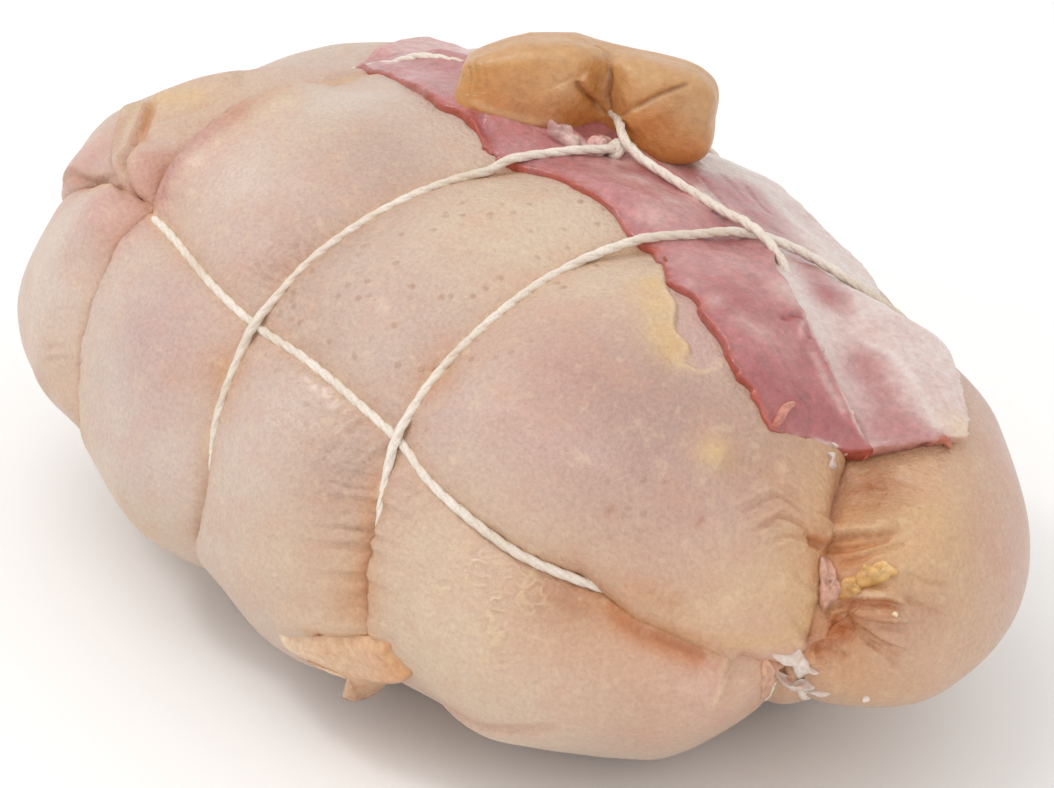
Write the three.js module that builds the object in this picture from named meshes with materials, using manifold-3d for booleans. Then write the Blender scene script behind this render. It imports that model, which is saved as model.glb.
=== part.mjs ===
// A raw stuffed chicken roll: a boned bird closed round its filling, dressed with slices of bacon and a
// folded piece of rind, and tied with twine. Millimetres, +Z up. The roll lies along X with its gathered
// end at +X. +Y is the side over which the streaky bacon hangs. It rests on z = 0.
import * as THREE from 'three';
import { mergeVertices } from 'three/addons/utils/BufferGeometryUtils.js';
import Module from 'manifold-3d';

const wasm = await Module();
wasm.setup();

// ---- Untied roll: sizes at six even stations from the far end to the gathered end ----
const HALF_LENGTH = 120;
const LEFT_HALF_WIDTH = [77, 79.5, 77.5, 77, 75.5, 65];
const RIGHT_HALF_WIDTH = [86, 82, 77, 72, 69, 73];
const RISE = [61, 61.5, 59, 56.5, 54.3, 48];      // from the widest level up
const DROP = [50, 46, 44, 43, 42.5, 32];          // from the widest level down
const WIDEST_LEVEL = [50, 44.5, 41, 41, 41, 43];
const SIDE_SHIFT = [0, 0, 0, 0, -2.5, -8];
const END_ROUNDNESS = 0.89;                       // 1 is an ellipse, less is blunter
const UPPER_SECTION_POWER = 2.2;                  // 2 is an ellipse, more is squarer
const LOWER_SECTION_POWER = 1.95;
const SWELLING = 1.2;                             // taut meat stands this far outside those sizes
const FLOOR = 3;                                  // level at which its weight flattens the underside
const MIDDLE = { x: -1.7, y: 1 };                 // of the untied roll, from the middle of the outline

// Soft swellings and hollows: x, angle round the roll (0 = +Y, 90 = top), height, reach.
const LOBES = [
  { name: 'lower lobe at the gathered end', x: 88, angle: 208, height: 2.5, reach: 26 },
  { name: 'thigh end beside the cleft', x: 112, angle: 305, height: 3.5, reach: 34 },
  { name: 'folded far end', x: -106, angle: 115, height: 1, reach: 22 },
  { name: 'foot of the far end', x: -98, angle: 208, height: 3, reach: 22 },
  { name: 'dip behind the far end', x: -95, angle: 92, height: -4, reach: 24 },
  { name: 'tucked far corner', x: -70, angle: 220, height: -5, reach: 22 },
  { name: 'lower lobe in the middle', x: 12, angle: 205, height: 3.6, reach: 20 },
  { name: 'steep shoulder behind the rind', x: 22, angle: 58, height: -4.2, reach: 22 },
  { name: 'steep shoulder at the string', x: 42, angle: 46, height: -4.2, reach: 22 },
  { name: 'fall behind the back slice', x: -74, angle: 68, height: -4.5, reach: 16 },
];

// ---- Twine ----
const TWINE_RADIUS = 1;
const TWINE_SIDES = 5;
const CHANNEL_SIDES = 4;       // of the room that its neighbours leave for it
const TWINE_STEP = 12;
const TWINE_LIFT = 0.3;        // its centre above the bottom of the groove that it presses
const GROOVE_REACH = 24;       // half the space between two loops
const GROOVE_BLEND = 3;        // how sharply two grooves join
const FIT_GAP = 0.35;          // clearance between neighbouring pieces
const TWINE_FLOOR = FLOOR + 1.5; // lowest level of its centre

// Each run's route as x, angle, depth of its groove, and height that bacon or rind lifts it off the skin.
const TWINE_ROUTES = {
  farLoop: [
    [-58, 185, 6, 0], [-58, 172, 6, 0], [-58, 153, 6, 0], [-57, 142, 6, 0], [-57, 132, 6, 0],
    [-65, 115, 6, 0], [-65, 101, 5, 0], [-62, 90, 4, 1.5], [-62, 82, 4, 2.9], [-62, 66, 4, 2.9],
    [-60, 42, 5, 2.9], [-57, 28, 5, 0], [-56, 0, 5, 0], [-56, 320, 5, 0], [-57, 290, 7, 0],
    [-58, 260, 8, 0], [-60, 225, 7, 0],
  ],
  middleLoop: [
    [-14, 196, 6, 0], [-10, 178, 5, 0], [-10, 159, 4, 0], [-11, 140, 4, 0], [-10, 122, 3.5, 0],
    [-6, 104, 3, 0], [-1, 92, 3, 2.8], [7, 73, 3, 2.9], [4, 50, 4, 2.9], [1, 38, 4.5, 2.9],
    [-4, 22, 5, 0], [-9, 325, 5, 0], [-12, 290, 8, 0], [-14, 255, 8, 0], [-15, 225, 7, 0],
  ],
  nearLoop: [
    [36, 213, 6, 0], [40, 192, 6, 0], [38, 171, 5, 0], [35, 152, 4.5, 0], [33, 137, 4, 0],
    [33, 120, 3.5, 0], [33, 105, 3.5, 0], [37, 93, 3, 2.8], [42, 73, 3.5, 2.9], [49, 61, 4, 2.9],
    [60, 48, 5, 2.9], [66, 36, 6, 2.9], [65, 22, 6, 0], [58, 350, 6, 0], [52, 315, 6, 0],
    [47, 285, 8, 0], [43, 255, 8, 0], [38, 230, 7, 0],
  ],
  sideLength: [
    [-57, 132, 5, 0], [-27, 138, 4, 0], [-11, 140, 4, 0], [7, 141, 4, 0], [33, 145, 4, 0],
    [44, 149, 5, 0], [55, 153, 7, 0], [67, 158, 9, 0], [82, 160, 11, 0], [97, 164, 13, 0],
    [110, 172, 14, 0], [115, 205, 13, 0], [107, 240, 9, 0], [94, 268, 7, 0], [82, 300, 6, 0],
    [60, 325, 5, 0], [20, 340, 5, 0], [-20, 342, 5, 0], [-60, 340, 5, 0], [-92, 335, 6, 0],
    [-114, 300, 8, 0], [-116, 190, 8, 0], [-102, 150, 7, 0], [-80, 135, 6, 0],
  ],
  topLength: [
    [-102, 85, 7, 0], [-84, 79, 5, 0], [-74, 76, 4, 2.9], [-55, 74, 3.5, 2.9], [-38, 72, 3, 2.9],
    [-24, 71, 3, 9], [-7, 70, 3, 9], [5, 72, 3, 3.2], [24, 71, 3, 2.9], [43, 73, 3.5, 2.9],
    [51, 71.5, 4, 2], [58, 71, 5, -0.6], [71, 71, 6, -0.6], [84, 74, 9, -0.6], [92, 80, 12, -0.6],
    [99, 92, 15, -0.3], [107, 107, 16, 0], [113, 132, 16, 0], [115, 172, 15, 0], [111, 215, 12, 0],
    [98, 245, 10, 0], [75, 266, 8, 0], [40, 272, 8, 0], [0, 272, 8, 0], [-50, 272, 8, 0],
    [-90, 272, 8, 0], [-116, 240, 8, 0], [-117, 130, 8, 0],
  ],
};
const ROUTE_STEPS = 12;        // fine steps between two route points, for measuring distances

// ---- Bacon slices: both long edges as x, angle, from the far end to the gathered end ----
const SLICE_THICKNESS = 2.6;
const SLICE_ROOT = 2;          // how deep a slice starts inside the skin before it is fitted to it
const LEAN_SLICE = {
  edges: [
    [[-70, 77], [-50, 82], [-34, 88], [-17, 90], [2, 90], [23, 90], [36, 91], [47, 94], [60, 98],
      [71, 101], [80, 102], [87, 104]],
    [[-68, 69], [-50, 71], [-34, 71.5], [-17, 71], [2, 71], [23, 70.5], [36, 71.5], [44, 72.5],
      [51, 74.5], [57, 73.5], [64, 70.5], [74, 71], [86, 72.5], [98, 74]],
  ],
  across: 3,
  along: 14,
};
const STREAKY_SLICE = {
  edges: [
    [[-16, 69.5], [2, 69.5], [23, 69], [36, 70], [46, 69.5], [54, 68], [62, 68.5], [74, 69.5], [97, 72]],
    [[-16, 44], [5, 42], [22, 40], [38, 38], [50, 37], [63, 39], [78, 43], [92, 48], [104, 56]],
  ],
  across: 3,
  along: 9,
};
const BACK_SLICE = {
  edges: [
    [[-78, 67.5], [-64, 68], [-50, 69.4], [-34, 69.9], [-22, 69.4]],
    [[-78, 52], [-64, 48], [-50, 46], [-36, 47], [-22, 50]],
  ],
  across: 2,
  along: 5,
};

// ---- Folded rind, pinched in the middle by the twine that runs along the top ----
const RIND = {
  centre: [-10, 27, 100.5],
  halfLength: 26,
  halfDepth: 12.5,
  halfHeight: 11,
  heading: 41,                 // degrees from +X to its long axis, seen from above
  dip: 9,                      // degrees its far end dips towards the streaky slice
  lean: -17,                   // degrees it leans down the side of the roll
  boxiness: 4,
  pinchDepth: 0.42,
  pinchReach: 0.2,             // as a share of the half length
  divisions: 7,
};

const COLOURS = {
  skin: { colour: 0xd8b9a0, roughness: 0.5 },
  lean: { colour: 0xb57376, roughness: 0.45 },
  streaky: { colour: 0xcfa39b, roughness: 0.4 },
  rind: { colour: 0xbf8d60, roughness: 0.55 },
  twine: { colour: 0xe6d7ca, roughness: 0.85 },
};
const BODY_DIVISIONS = 16;

// ---- Form of the roll ----

// Value at xi (-1 to 1) on a smooth curve through evenly spaced stations.
function along(stations, xi) {
  const last = stations.length - 1;
  const t = (THREE.MathUtils.clamp(xi, -1, 1) + 1) / 2 * last;
  const i = Math.min(Math.floor(t), last - 1);
  const f = t - i;
  const [a, b, c, d] = [Math.max(i - 1, 0), i, i + 1, Math.min(i + 2, last)].map((k) => stations[k]);
  const bend = (2 * a - 5 * b + 4 * c - d) * f ** 2 + (3 * b - a - 3 * c + d) * f ** 3;
  return 0.5 * (2 * b + (c - a) * f + bend);
}

// Unit direction whose point on the roll is at x, at this angle round it.
function direction(x, degrees) {
  const xi = x / HALF_LENGTH;
  const lengthwise = Math.sign(xi) * Math.abs(xi) ** (1 / END_ROUNDNESS);
  const across = Math.sqrt(Math.max(0, 1 - lengthwise ** 2));
  const angle = THREE.MathUtils.degToRad(degrees);
  return new THREE.Vector3(lengthwise, across * Math.cos(angle), across * Math.sin(angle));
}

// Point of the smooth roll, before twine and lobes, in a unit direction.
function envelope(dir) {
  const xi = Math.sign(dir.x) * Math.abs(dir.x) ** END_ROUNDNESS;
  const across = Math.hypot(dir.y, dir.z);
  const angle = Math.atan2(dir.z, dir.y);
  const c = Math.cos(angle);
  const s = Math.sin(angle);
  const power = s > 0 ? UPPER_SECTION_POWER : LOWER_SECTION_POWER;
  const squareness = (Math.abs(c) ** power + Math.abs(s) ** power) ** (-1 / power);
  const size = across ** END_ROUNDNESS * squareness;
  const width = along(c > 0 ? RIGHT_HALF_WIDTH : LEFT_HALF_WIDTH, xi);
  const height = along(s > 0 ? RISE : DROP, xi);
  return new THREE.Vector3(
    HALF_LENGTH * xi,
    along(SIDE_SHIFT, xi) + width * size * c,
    along(WIDEST_LEVEL, xi) + height * size * s,
  );
}

// Outward normal of the smooth roll.
function envelopeNormal(dir) {
  const step = 0.004;
  const guide = Math.abs(dir.z) < 0.8 ? new THREE.Vector3(0, 0, 1) : new THREE.Vector3(0, 1, 0);
  const first = guide.cross(dir).normalize();
  const second = dir.clone().cross(first);
  const slope = (tangent) => {
    const ahead = envelope(dir.clone().addScaledVector(tangent, step).normalize());
    const behind = envelope(dir.clone().addScaledVector(tangent, -step).normalize());
    return ahead.sub(behind);
  };
  return slope(first).cross(slope(second)).normalize();
}

// Closed smooth route through the points of one loop, with its groove depth and lift carried along.
function traceRoute(points) {
  const keys = points.map(([x, angle, depth, lift]) => ({ dir: direction(x, angle), depth, lift }));
  const count = keys.length;
  const curve = new THREE.CatmullRomCurve3(keys.map((key) => key.dir), true, 'catmullrom', 0.5);
  const samples = [];
  for (let i = 0; i < count * ROUTE_STEPS; i += 1) {
    const t = i / ROUTE_STEPS;
    const k = Math.floor(t);
    const from = keys[k];
    const to = keys[(k + 1) % count];
    const dir = curve.getPoint(i / (count * ROUTE_STEPS)).normalize();
    samples.push({
      dir,
      point: envelope(dir),
      depth: THREE.MathUtils.lerp(from.depth, to.depth, t - k),
      lift: THREE.MathUtils.lerp(from.lift, to.lift, t - k),
    });
  }
  return samples;
}

const routes = Object.values(TWINE_ROUTES).map(traceRoute);
const lobes = LOBES.map((lobe) => ({ ...lobe, centre: envelope(direction(lobe.x, lobe.angle)) }));

// How far the twine presses the skin in at a point of the envelope.
function grooveDepth(point) {
  let sum = 0;
  for (const route of routes) {
    let nearest = route[0];
    let least = Infinity;
    for (const sample of route) {
      const distance = sample.point.distanceToSquared(point);
      if (distance < least) {
        least = distance;
        nearest = sample;
      }
    }
    const q = Math.min(Math.sqrt(least) / GROOVE_REACH, 1);
    sum += (nearest.depth * (1 - q) ** 2 * (1 + 2 * q)) ** GROOVE_BLEND;
  }
  return sum ** (1 / GROOVE_BLEND);
}

// How far the lobes lift the skin at a point of the envelope.
function lobeHeight(point) {
  let height = 0;
  for (const lobe of lobes) {
    height += lobe.height * Math.exp(-lobe.centre.distanceToSquared(point) / lobe.reach ** 2);
  }
  return height;
}

// Point above the tied skin, by an offset along its normal. The skin is flat where it rests.
function skinPoint(dir, offset = 0) {
  const point = envelope(dir);
  const height = SWELLING + lobeHeight(point) - grooveDepth(point);
  point.addScaledVector(envelopeNormal(dir), height + offset);
  point.z = Math.max(point.z, FLOOR - Math.max(offset, 0));
  return point;
}

// ---- Meshes and solids ----

// Closed box mesh with every vertex moved to a new place.
function mappedBox(divisions, place) {
  const geometry = new THREE.BoxGeometry(1, 1, 1, ...divisions);
  geometry.deleteAttribute('normal');
  geometry.deleteAttribute('uv');
  const merged = mergeVertices(geometry);
  const position = merged.getAttribute('position');
  for (let i = 0; i < position.count; i += 1) {
    const placed = place(new THREE.Vector3().fromBufferAttribute(position, i));
    position.setXYZ(i, placed.x, placed.y, placed.z);
  }
  return merged;
}

// Direction of a point on a unit box, with the box's cells spread evenly over the sphere.
function boxToSphere(p) {
  const even = (value) => Math.tan(value * Math.PI / 2);
  return new THREE.Vector3(even(p.x), even(p.y), even(p.z)).normalize();
}

// Solid from a closed mesh whose vertices are shared.
function toSolid(geometry) {
  return new wasm.Manifold(new wasm.Mesh({
    numProp: 3,
    vertProperties: new Float32Array(geometry.getAttribute('position').array),
    triVerts: new Uint32Array(geometry.getIndex().array),
  }));
}

function toMesh(solid, name, finish) {
  const { vertProperties, triVerts } = solid.getMesh();
  const geometry = new THREE.BufferGeometry();
  geometry.setAttribute('position', new THREE.BufferAttribute(new Float32Array(vertProperties), 3));
  geometry.setIndex(new THREE.BufferAttribute(new Uint32Array(triVerts), 1));
  geometry.computeVertexNormals();
  const material = new THREE.MeshStandardMaterial({
    color: finish.colour,
    roughness: finish.roughness,
    metalness: 0,
  });
  const mesh = new THREE.Mesh(geometry, material);
  mesh.name = name;
  return mesh;
}

// Boned bird and filling: one solid with a groove pressed in along each loop.
function birdSolid(offset = 0) {
  const divisions = [BODY_DIVISIONS, BODY_DIVISIONS, BODY_DIVISIONS];
  return toSolid(mappedBox(divisions, (p) => skinPoint(boxToSphere(p), offset)));
}

// Twine as one tied length: its loops joined where they cross.
function twineSolid(radius, sides) {
  let twine = null;
  for (const route of routes) {
    const centres = route.map(({ dir, lift }) => {
      const centre = skinPoint(dir, TWINE_LIFT + lift);
      centre.z = Math.max(centre.z, TWINE_FLOOR);
      return centre;
    });
    const curve = new THREE.CatmullRomCurve3(centres, true);
    const steps = Math.round(curve.getLength() / TWINE_STEP);
    const tube = new THREE.TubeGeometry(curve, steps, radius, sides, true);
    tube.deleteAttribute('normal');
    tube.deleteAttribute('uv');
    const loop = toSolid(mergeVertices(tube));
    twine = twine ? twine.add(loop) : loop;
  }
  return twine;
}

// Smooth edge of a slice, as directions.
function edgeCurve(points) {
  return new THREE.CatmullRomCurve3(points.map(([x, angle]) => direction(x, angle)));
}

// Thin slab that follows the skin between two edges, from inside the skin to its upper face.
function sliceSolid(slice, extra = 0) {
  const [left, right] = slice.edges.map(edgeCurve);
  return toSolid(mappedBox([slice.across, slice.along, 1], (p) => {
    const t = p.y + 0.5;
    const dir = right.getPoint(t).lerp(left.getPoint(t), p.x + 0.5).normalize();
    return skinPoint(dir, p.z > 0 ? SLICE_THICKNESS + extra : -SLICE_ROOT);
  }));
}

// Folded rind: a boxy pillow with a notch pressed across it by the twine.
function rindSolid() {
  const turn = new THREE.Euler(
    THREE.MathUtils.degToRad(RIND.lean),
    THREE.MathUtils.degToRad(RIND.dip),
    THREE.MathUtils.degToRad(RIND.heading),
    'ZYX',
  );
  const centre = new THREE.Vector3(...RIND.centre);
  return toSolid(mappedBox([RIND.divisions, RIND.divisions, RIND.divisions], (p) => {
    const dir = boxToSphere(p);
    const fill = (Math.abs(dir.x) ** RIND.boxiness + Math.abs(dir.y) ** RIND.boxiness
      + Math.abs(dir.z) ** RIND.boxiness) ** (-1 / RIND.boxiness);
    dir.multiplyScalar(fill);
    const pinch = 1 - RIND.pinchDepth * Math.exp(-((dir.x / RIND.pinchReach) ** 2));
    return new THREE.Vector3(
      RIND.halfLength * dir.x,
      RIND.halfDepth * dir.y * pinch,
      RIND.halfHeight * (dir.z > 0 ? dir.z * pinch : dir.z),
    ).applyEuler(turn).add(centre);
  }));
}

// ---- Assembly ----
const twine = twineSolid(TWINE_RADIUS, TWINE_SIDES);
const channelRadius = (TWINE_RADIUS + FIT_GAP) / Math.cos(Math.PI / CHANNEL_SIDES);
const twineRoom = twineSolid(channelRadius, CHANNEL_SIDES);
const birdRoom = birdSolid(FIT_GAP);

const lean = sliceSolid(LEAN_SLICE).subtract(birdRoom);
const leanRoom = sliceSolid(LEAN_SLICE, FIT_GAP);
const streaky = sliceSolid(STREAKY_SLICE).subtract(birdRoom);
const streakyRoom = sliceSolid(STREAKY_SLICE, FIT_GAP);
const back = sliceSolid(BACK_SLICE).subtract(birdRoom);
const backRoom = sliceSolid(BACK_SLICE, FIT_GAP);
const rind = rindSolid().subtract(birdRoom).subtract(leanRoom).subtract(streakyRoom).subtract(backRoom);

const roll = new THREE.Group();
roll.name = 'stuffed_chicken_roll';
roll.position.set(MIDDLE.x, MIDDLE.y, -FLOOR);
roll.add(toMesh(birdSolid().subtract(twineRoom), 'chicken_body', COLOURS.skin));
roll.add(toMesh(lean.subtract(twineRoom), 'bacon_lean', COLOURS.lean));
roll.add(toMesh(streaky.subtract(twineRoom), 'bacon_streaky', COLOURS.streaky));
roll.add(toMesh(back.subtract(twineRoom), 'bacon_back', COLOURS.lean));
roll.add(toMesh(rind.subtract(twineRoom), 'folded_rind', COLOURS.rind));
roll.add(toMesh(twine, 'twine', COLOURS.twine));

export default roll;
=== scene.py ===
"""A raw stuffed chicken roll, dressed with bacon and tied with twine, lying on a pale table."""
import itertools
import math

import bpy
import numpy as np
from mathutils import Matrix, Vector


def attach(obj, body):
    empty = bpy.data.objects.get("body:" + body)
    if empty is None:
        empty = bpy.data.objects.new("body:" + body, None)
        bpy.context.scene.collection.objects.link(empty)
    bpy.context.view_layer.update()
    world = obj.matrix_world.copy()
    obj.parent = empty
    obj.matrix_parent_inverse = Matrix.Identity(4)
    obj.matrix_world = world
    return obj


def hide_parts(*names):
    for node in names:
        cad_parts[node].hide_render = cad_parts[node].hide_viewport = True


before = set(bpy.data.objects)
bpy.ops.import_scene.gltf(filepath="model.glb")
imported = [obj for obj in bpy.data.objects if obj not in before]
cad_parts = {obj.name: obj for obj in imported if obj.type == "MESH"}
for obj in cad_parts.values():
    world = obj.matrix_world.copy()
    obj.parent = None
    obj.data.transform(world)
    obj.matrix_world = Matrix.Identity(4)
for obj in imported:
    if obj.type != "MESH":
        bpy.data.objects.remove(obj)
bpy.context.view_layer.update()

# ---- The camera ----
# Long lens, three quarters from above the gathered end, as such a roast is shown for sale. The places that
# later sections trace on the roll are pixels of this view, PHOTO_SIZE wide and high.
MM = 0.001
PHOTO_SIZE = (1054, 788)
VIEW_AZIMUTH = math.radians(48)
VIEW_ELEVATION = math.radians(28)
VIEW_DISTANCE = 0.95
AIM = np.array([0.25, 0.6, 43.8]) * MM
SENSOR_WIDTH = 36
LENS = 160.6

towards_camera = np.array([
    math.sin(VIEW_AZIMUTH) * math.cos(VIEW_ELEVATION),
    -math.cos(VIEW_AZIMUTH) * math.cos(VIEW_ELEVATION),
    math.sin(VIEW_ELEVATION),
])
view_right = np.array([math.cos(VIEW_AZIMUTH), math.sin(VIEW_AZIMUTH), 0])
view_up = np.cross(towards_camera, view_right)
camera_place = AIM + VIEW_DISTANCE * towards_camera

camera_data = bpy.data.cameras.new("camera")
camera_data.lens = LENS
camera_data.sensor_width = SENSOR_WIDTH
camera = bpy.data.objects.new("camera", camera_data)
camera.location = camera_place
camera.rotation_euler = Vector(-towards_camera).to_track_quat("-Z", "Y").to_euler()
bpy.context.collection.objects.link(camera)
bpy.context.scene.camera = camera
bpy.context.scene.view_settings.view_transform = "Standard"


def picture_place(points):
    """Pixel and depth of points, in metres, in the camera's view."""
    away = points - camera_place
    depth = -away @ towards_camera
    scale = LENS / SENSOR_WIDTH * PHOTO_SIZE[0] / depth
    across = PHOTO_SIZE[0] / 2 + away @ view_right * scale
    down = PHOTO_SIZE[1] / 2 - away @ view_up * scale
    return np.stack([across, down], -1), depth


# ---- The pale table and the studio light ----
# A plain white table under a wide soft box, with a paler fill from the left and light from the white room.
TABLE_SIZE = 6.0
TABLE_WHITE = (0.92, 0.92, 0.915, 1)
ROOM_LIGHT = (1.0, 0.99, 0.98, 1)
ROOM_STRENGTH = 0.9
SOFT_LIGHTS = {
    "soft_box": {"place": (-0.15, -0.45, 1.25), "size": 0.9, "power": 2.5},
    "window": {"place": (1.1, -0.5, 0.7), "size": 0.9, "power": 2.0},
    "lamp": {"place": (-0.60, -0.42, 1.02), "size": 0.2, "power": 2.4},
}

table_mesh = bpy.data.meshes.new("table")
half = TABLE_SIZE / 2
corners = [(-half, -half, 0), (half, -half, 0), (half, half, 0), (-half, half, 0)]
table_mesh.from_pydata(corners, [], [(0, 1, 2, 3)])
table = bpy.data.objects.new("table", table_mesh)
bpy.context.collection.objects.link(table)
table_finish = bpy.data.materials.new("white_table")
table_finish.use_nodes = True
table_shader = table_finish.node_tree.nodes["Principled BSDF"]
table_shader.inputs["Base Color"].default_value = TABLE_WHITE
table_shader.inputs["Roughness"].default_value = 0.6
table_mesh.materials.append(table_finish)

room = bpy.data.worlds.new("white_room")
room.use_nodes = True
room.node_tree.nodes["Background"].inputs["Color"].default_value = ROOM_LIGHT
room.node_tree.nodes["Background"].inputs["Strength"].default_value = ROOM_STRENGTH
bpy.context.scene.world = room

for name, light in SOFT_LIGHTS.items():
    lamp_data = bpy.data.lights.new(name, "AREA")
    lamp_data.shape = "DISK"
    lamp_data.size = light["size"]
    lamp_data.energy = light["power"]
    lamp = bpy.data.objects.new(name, lamp_data)
    lamp.location = light["place"]
    lamp.rotation_euler = (Vector(AIM) - lamp.location).to_track_quat("-Z", "Y").to_euler()
    bpy.context.collection.objects.link(lamp)

# ---- The chicken ----
# A boned bird closed round its filling and rolled to a plump oval. Its soft flesh swells between the strings
# and its loose skin rolls over them along the creases, most of all at the gathered end.
HALF_LENGTH = 120
LEFT_HALF_WIDTH = [77, 79.5, 77.5, 77, 75.5, 65]
RIGHT_HALF_WIDTH = [86, 82, 77, 72, 69, 73]
RISE = [61, 61.5, 59, 56.5, 54.3, 48]
DROP = [50, 46, 44, 43, 42.5, 32]
WIDEST_LEVEL = [50, 44.5, 41, 41, 41, 43]
SIDE_SHIFT = [0, 0, 0, 0, -2.5, -8]
END_ROUNDNESS = 0.89
UPPER_SECTION_POWER = 2.2
LOWER_SECTION_POWER = 1.95
SWELLING = 1.2
FLOOR = 3
MIDDLE = np.array([-1.7, 1, -FLOOR])
GROOVE_REACH = 24
GROOVE_BLEND = 3
ROUTE_STEPS = 40

# Soft swellings and hollows: x, angle round the roll (0 = +Y, 90 = top), height, reach.
LOBES = {
    "lower lobe at the gathered end": (88, 208, 2.5, 26),
    "thigh end beside the cleft": (112, 305, 3.5, 34),
    "folded far end": (-106, 115, 1, 22),
    "foot of the far end": (-98, 208, 3, 22),
    "dip behind the far end": (-95, 92, -4, 24),
    "tucked far corner": (-70, 220, -5, 22),
    "lower lobe in the middle": (12, 205, 3.6, 20),
    "steep shoulder behind the rind": (22, 58, -4.2, 22),
    "steep shoulder at the string": (42, 46, -4.2, 22),
    "fall behind the back slice": (-74, 68, -4.5, 16),
}

# Each run's route as x, angle, depth of its groove, height that bacon or rind lifts it off the skin, and how
# much the skin on its left (+) or right (-) rolls over it, from 0 to 1.
TWINE_ROUTES = {
    "far loop": [
        (-56, 185, 6, -2, .9), (-56, 172, 6, -2, .9), (-57, 153, 6, -2, .9), (-58, 142, 6, -2, .8),
        (-58, 132, 6, -2, .7), (-63.5, 115, 6, -2, .9), (-62, 101, 5, -2, .6), (-59.5, 90, 4, -2, 0),
        (-61, 82, 4, -2, 0), (-62, 66, 4, -2, 0), (-60, 42, 5, 0, 0), (-57, 28, 5, 0, 0), (-56, 0, 5, 0, 0),
        (-56, 320, 5, 0, 0), (-57, 290, 7, 0, 0), (-58, 260, 8, 0, 0), (-60, 225, 7, 0, .5),
    ],
    "middle loop": [
        (-14, 196, 8, -3, .9), (-10, 178, 5, -1.6, .6), (-10, 159, 4, 0, 0), (-11, 140, 4, 0, 0),
        (-10, 122, 3.5, 0, 0), (-6, 104, 3, 0, 0), (-1.5, 96, 3, 1.2, 0), (.5, 91.5, 3, 3, 0),
        (7, 77, 3, 3.4, 0), (5.5, 68, 3, 3.6, 0), (1, 60, 3.4, 3.4, 0), (-4, 50, 4, 3.2, 0),
        (-7, 38, 4.5, 2.9, 0), (-8, 22, 5, 0, 0), (-9, 325, 5, 0, 0), (-12, 290, 8, 0, 0),
        (-14, 255, 8, 0, 0), (-15, 225, 7, 0, .5),
    ],
    "near loop": [
        (36, 213, 6, -3, 1), (40, 192, 6, -2.8, 1), (38, 171, 5, -1.3, .8), (35, 152, 4.5, 0, 0),
        (33, 137, 4, 0, 0), (33, 120, 3.5, 0, 0), (33, 105, 3.5, 0, 0), (38, 93, 3, 2.9, 0),
        (42.5, 83, 3.2, 3.3, 0), (44.5, 73, 3.5, 4.1, 0), (50, 62, 4, 3.6, 0), (60, 50, 5, 3.4, 0),
        (66, 37, 6, 3.4, 0), (65, 22, 6, 0, 0), (58, 350, 6, 0, 0), (52, 315, 6, 0, 0), (47, 285, 8, 0, 0),
        (43, 255, 8, 0, 0), (38, 230, 7, 0, .5),
    ],
    "side length": [
        (-57, 132, 5, -2.5, 0), (-50, 133.4, 5, 0, 0), (-27, 138, 4, 0, 0), (-11, 140, 4, 0, 0),
        (7, 141, 4, 0, 0), (33, 145, 4, 0, 0), (44, 149, 5, .3, 0), (55, 152, 7, 1.2, 0),
        (67, 155, 9, 1.9, 0), (78, 156.4, 11, 2.1, 0), (84, 156.8, 11.5, 1.6, -.5), (90, 157.2, 12, -2, -1),
        (99, 159.7, 13, -2, -1), (107, 164, 14, -2, -1), (113, 177, 14, -2, -.9), (114, 205, 13, -2, -.4),
        (107, 240, 9, 0, 0), (94, 268, 7, 0, 0), (82, 300, 6, 0, 0), (60, 325, 5, 0, 0), (20, 340, 5, 0, 0),
        (-20, 342, 5, 0, 0), (-60, 340, 5, 0, 0), (-92, 335, 6, 0, 0), (-114, 300, 8, 0, 0),
        (-116, 190, 8, 0, 0), (-102, 150, 6, -2, -.5), (-80, 135, 5, -2, -.5),
    ],
    "top length": [
        (-102, 85, 6, -2, 0), (-84, 79, 5, -2, 0), (-74, 76, 4, 0, 0), (-55, 74, 3.5, 2.9, 0),
        (-38, 72, 3, 2.9, 0), (-22, 67, 3, 6, 0), (-3, 70.9, 3, 6.6, 0), (3.5, 73, 3, 5.9, 0),
        (7, 74.8, 3, 5.3, 0), (10, 75.4, 3, 4.6, 0), (14.5, 74.6, 3, 4, 0), (26, 73, 3, 3.7, 0),
        (37, 72.8, 3.2, 4.2, 0), (45, 73, 3.5, 4.6, 0), (50, 71.8, 4, 4.2, 0), (54, 70.9, 4.5, 2.8, 0),
        (57.5, 70.4, 5, .6, 0), (63, 70.5, 5, -3, 0), (71, 71, 6, -3, 0), (84, 76, 9, -2, .4),
        (91, 82, 12, -2, .8), (97, 92, 15, -2, .9), (102, 104.5, 16, -2, .9), (107, 117, 16, -2, .9),
        (111, 132, 16, -2, .9), (114, 153, 15, -2, .8), (115, 180, 14, -2, .4), (110, 215, 12, -1, 0),
        (98, 245, 10, 0, 0), (75, 266, 8, 0, 0), (40, 272, 8, 0, 0), (0, 272, 8, 0, 0), (-50, 272, 8, 0, 0),
        (-90, 272, 8, 0, 0), (-116, 240, 8, 0, 0), (-117, 130, 8, 0, 0),
    ],
}
PRESSED_SHARE = 0.34          # of a groove's depth lies in the narrow dent beside the string
PRESSED_REACH = 2.2
ROLLED_SHARE = 0.6            # of a crease's depth is the round lip that rolls over it
LIP_WIDTH = 6
UNDER_SHARE = 0.4             # of a crease's depth is the narrow gap on the side that lies under
UNDER_REACH = 1.6
DEEPEST = 15                  # a groove so deep gets the full painted shade on the side that lies under
SHADE_REACH = 3.6
OVERHANG_FADE = 8
FAR_OFF = 1e3
BLOCK = 8192                  # points that are compared with a line at a time


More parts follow.
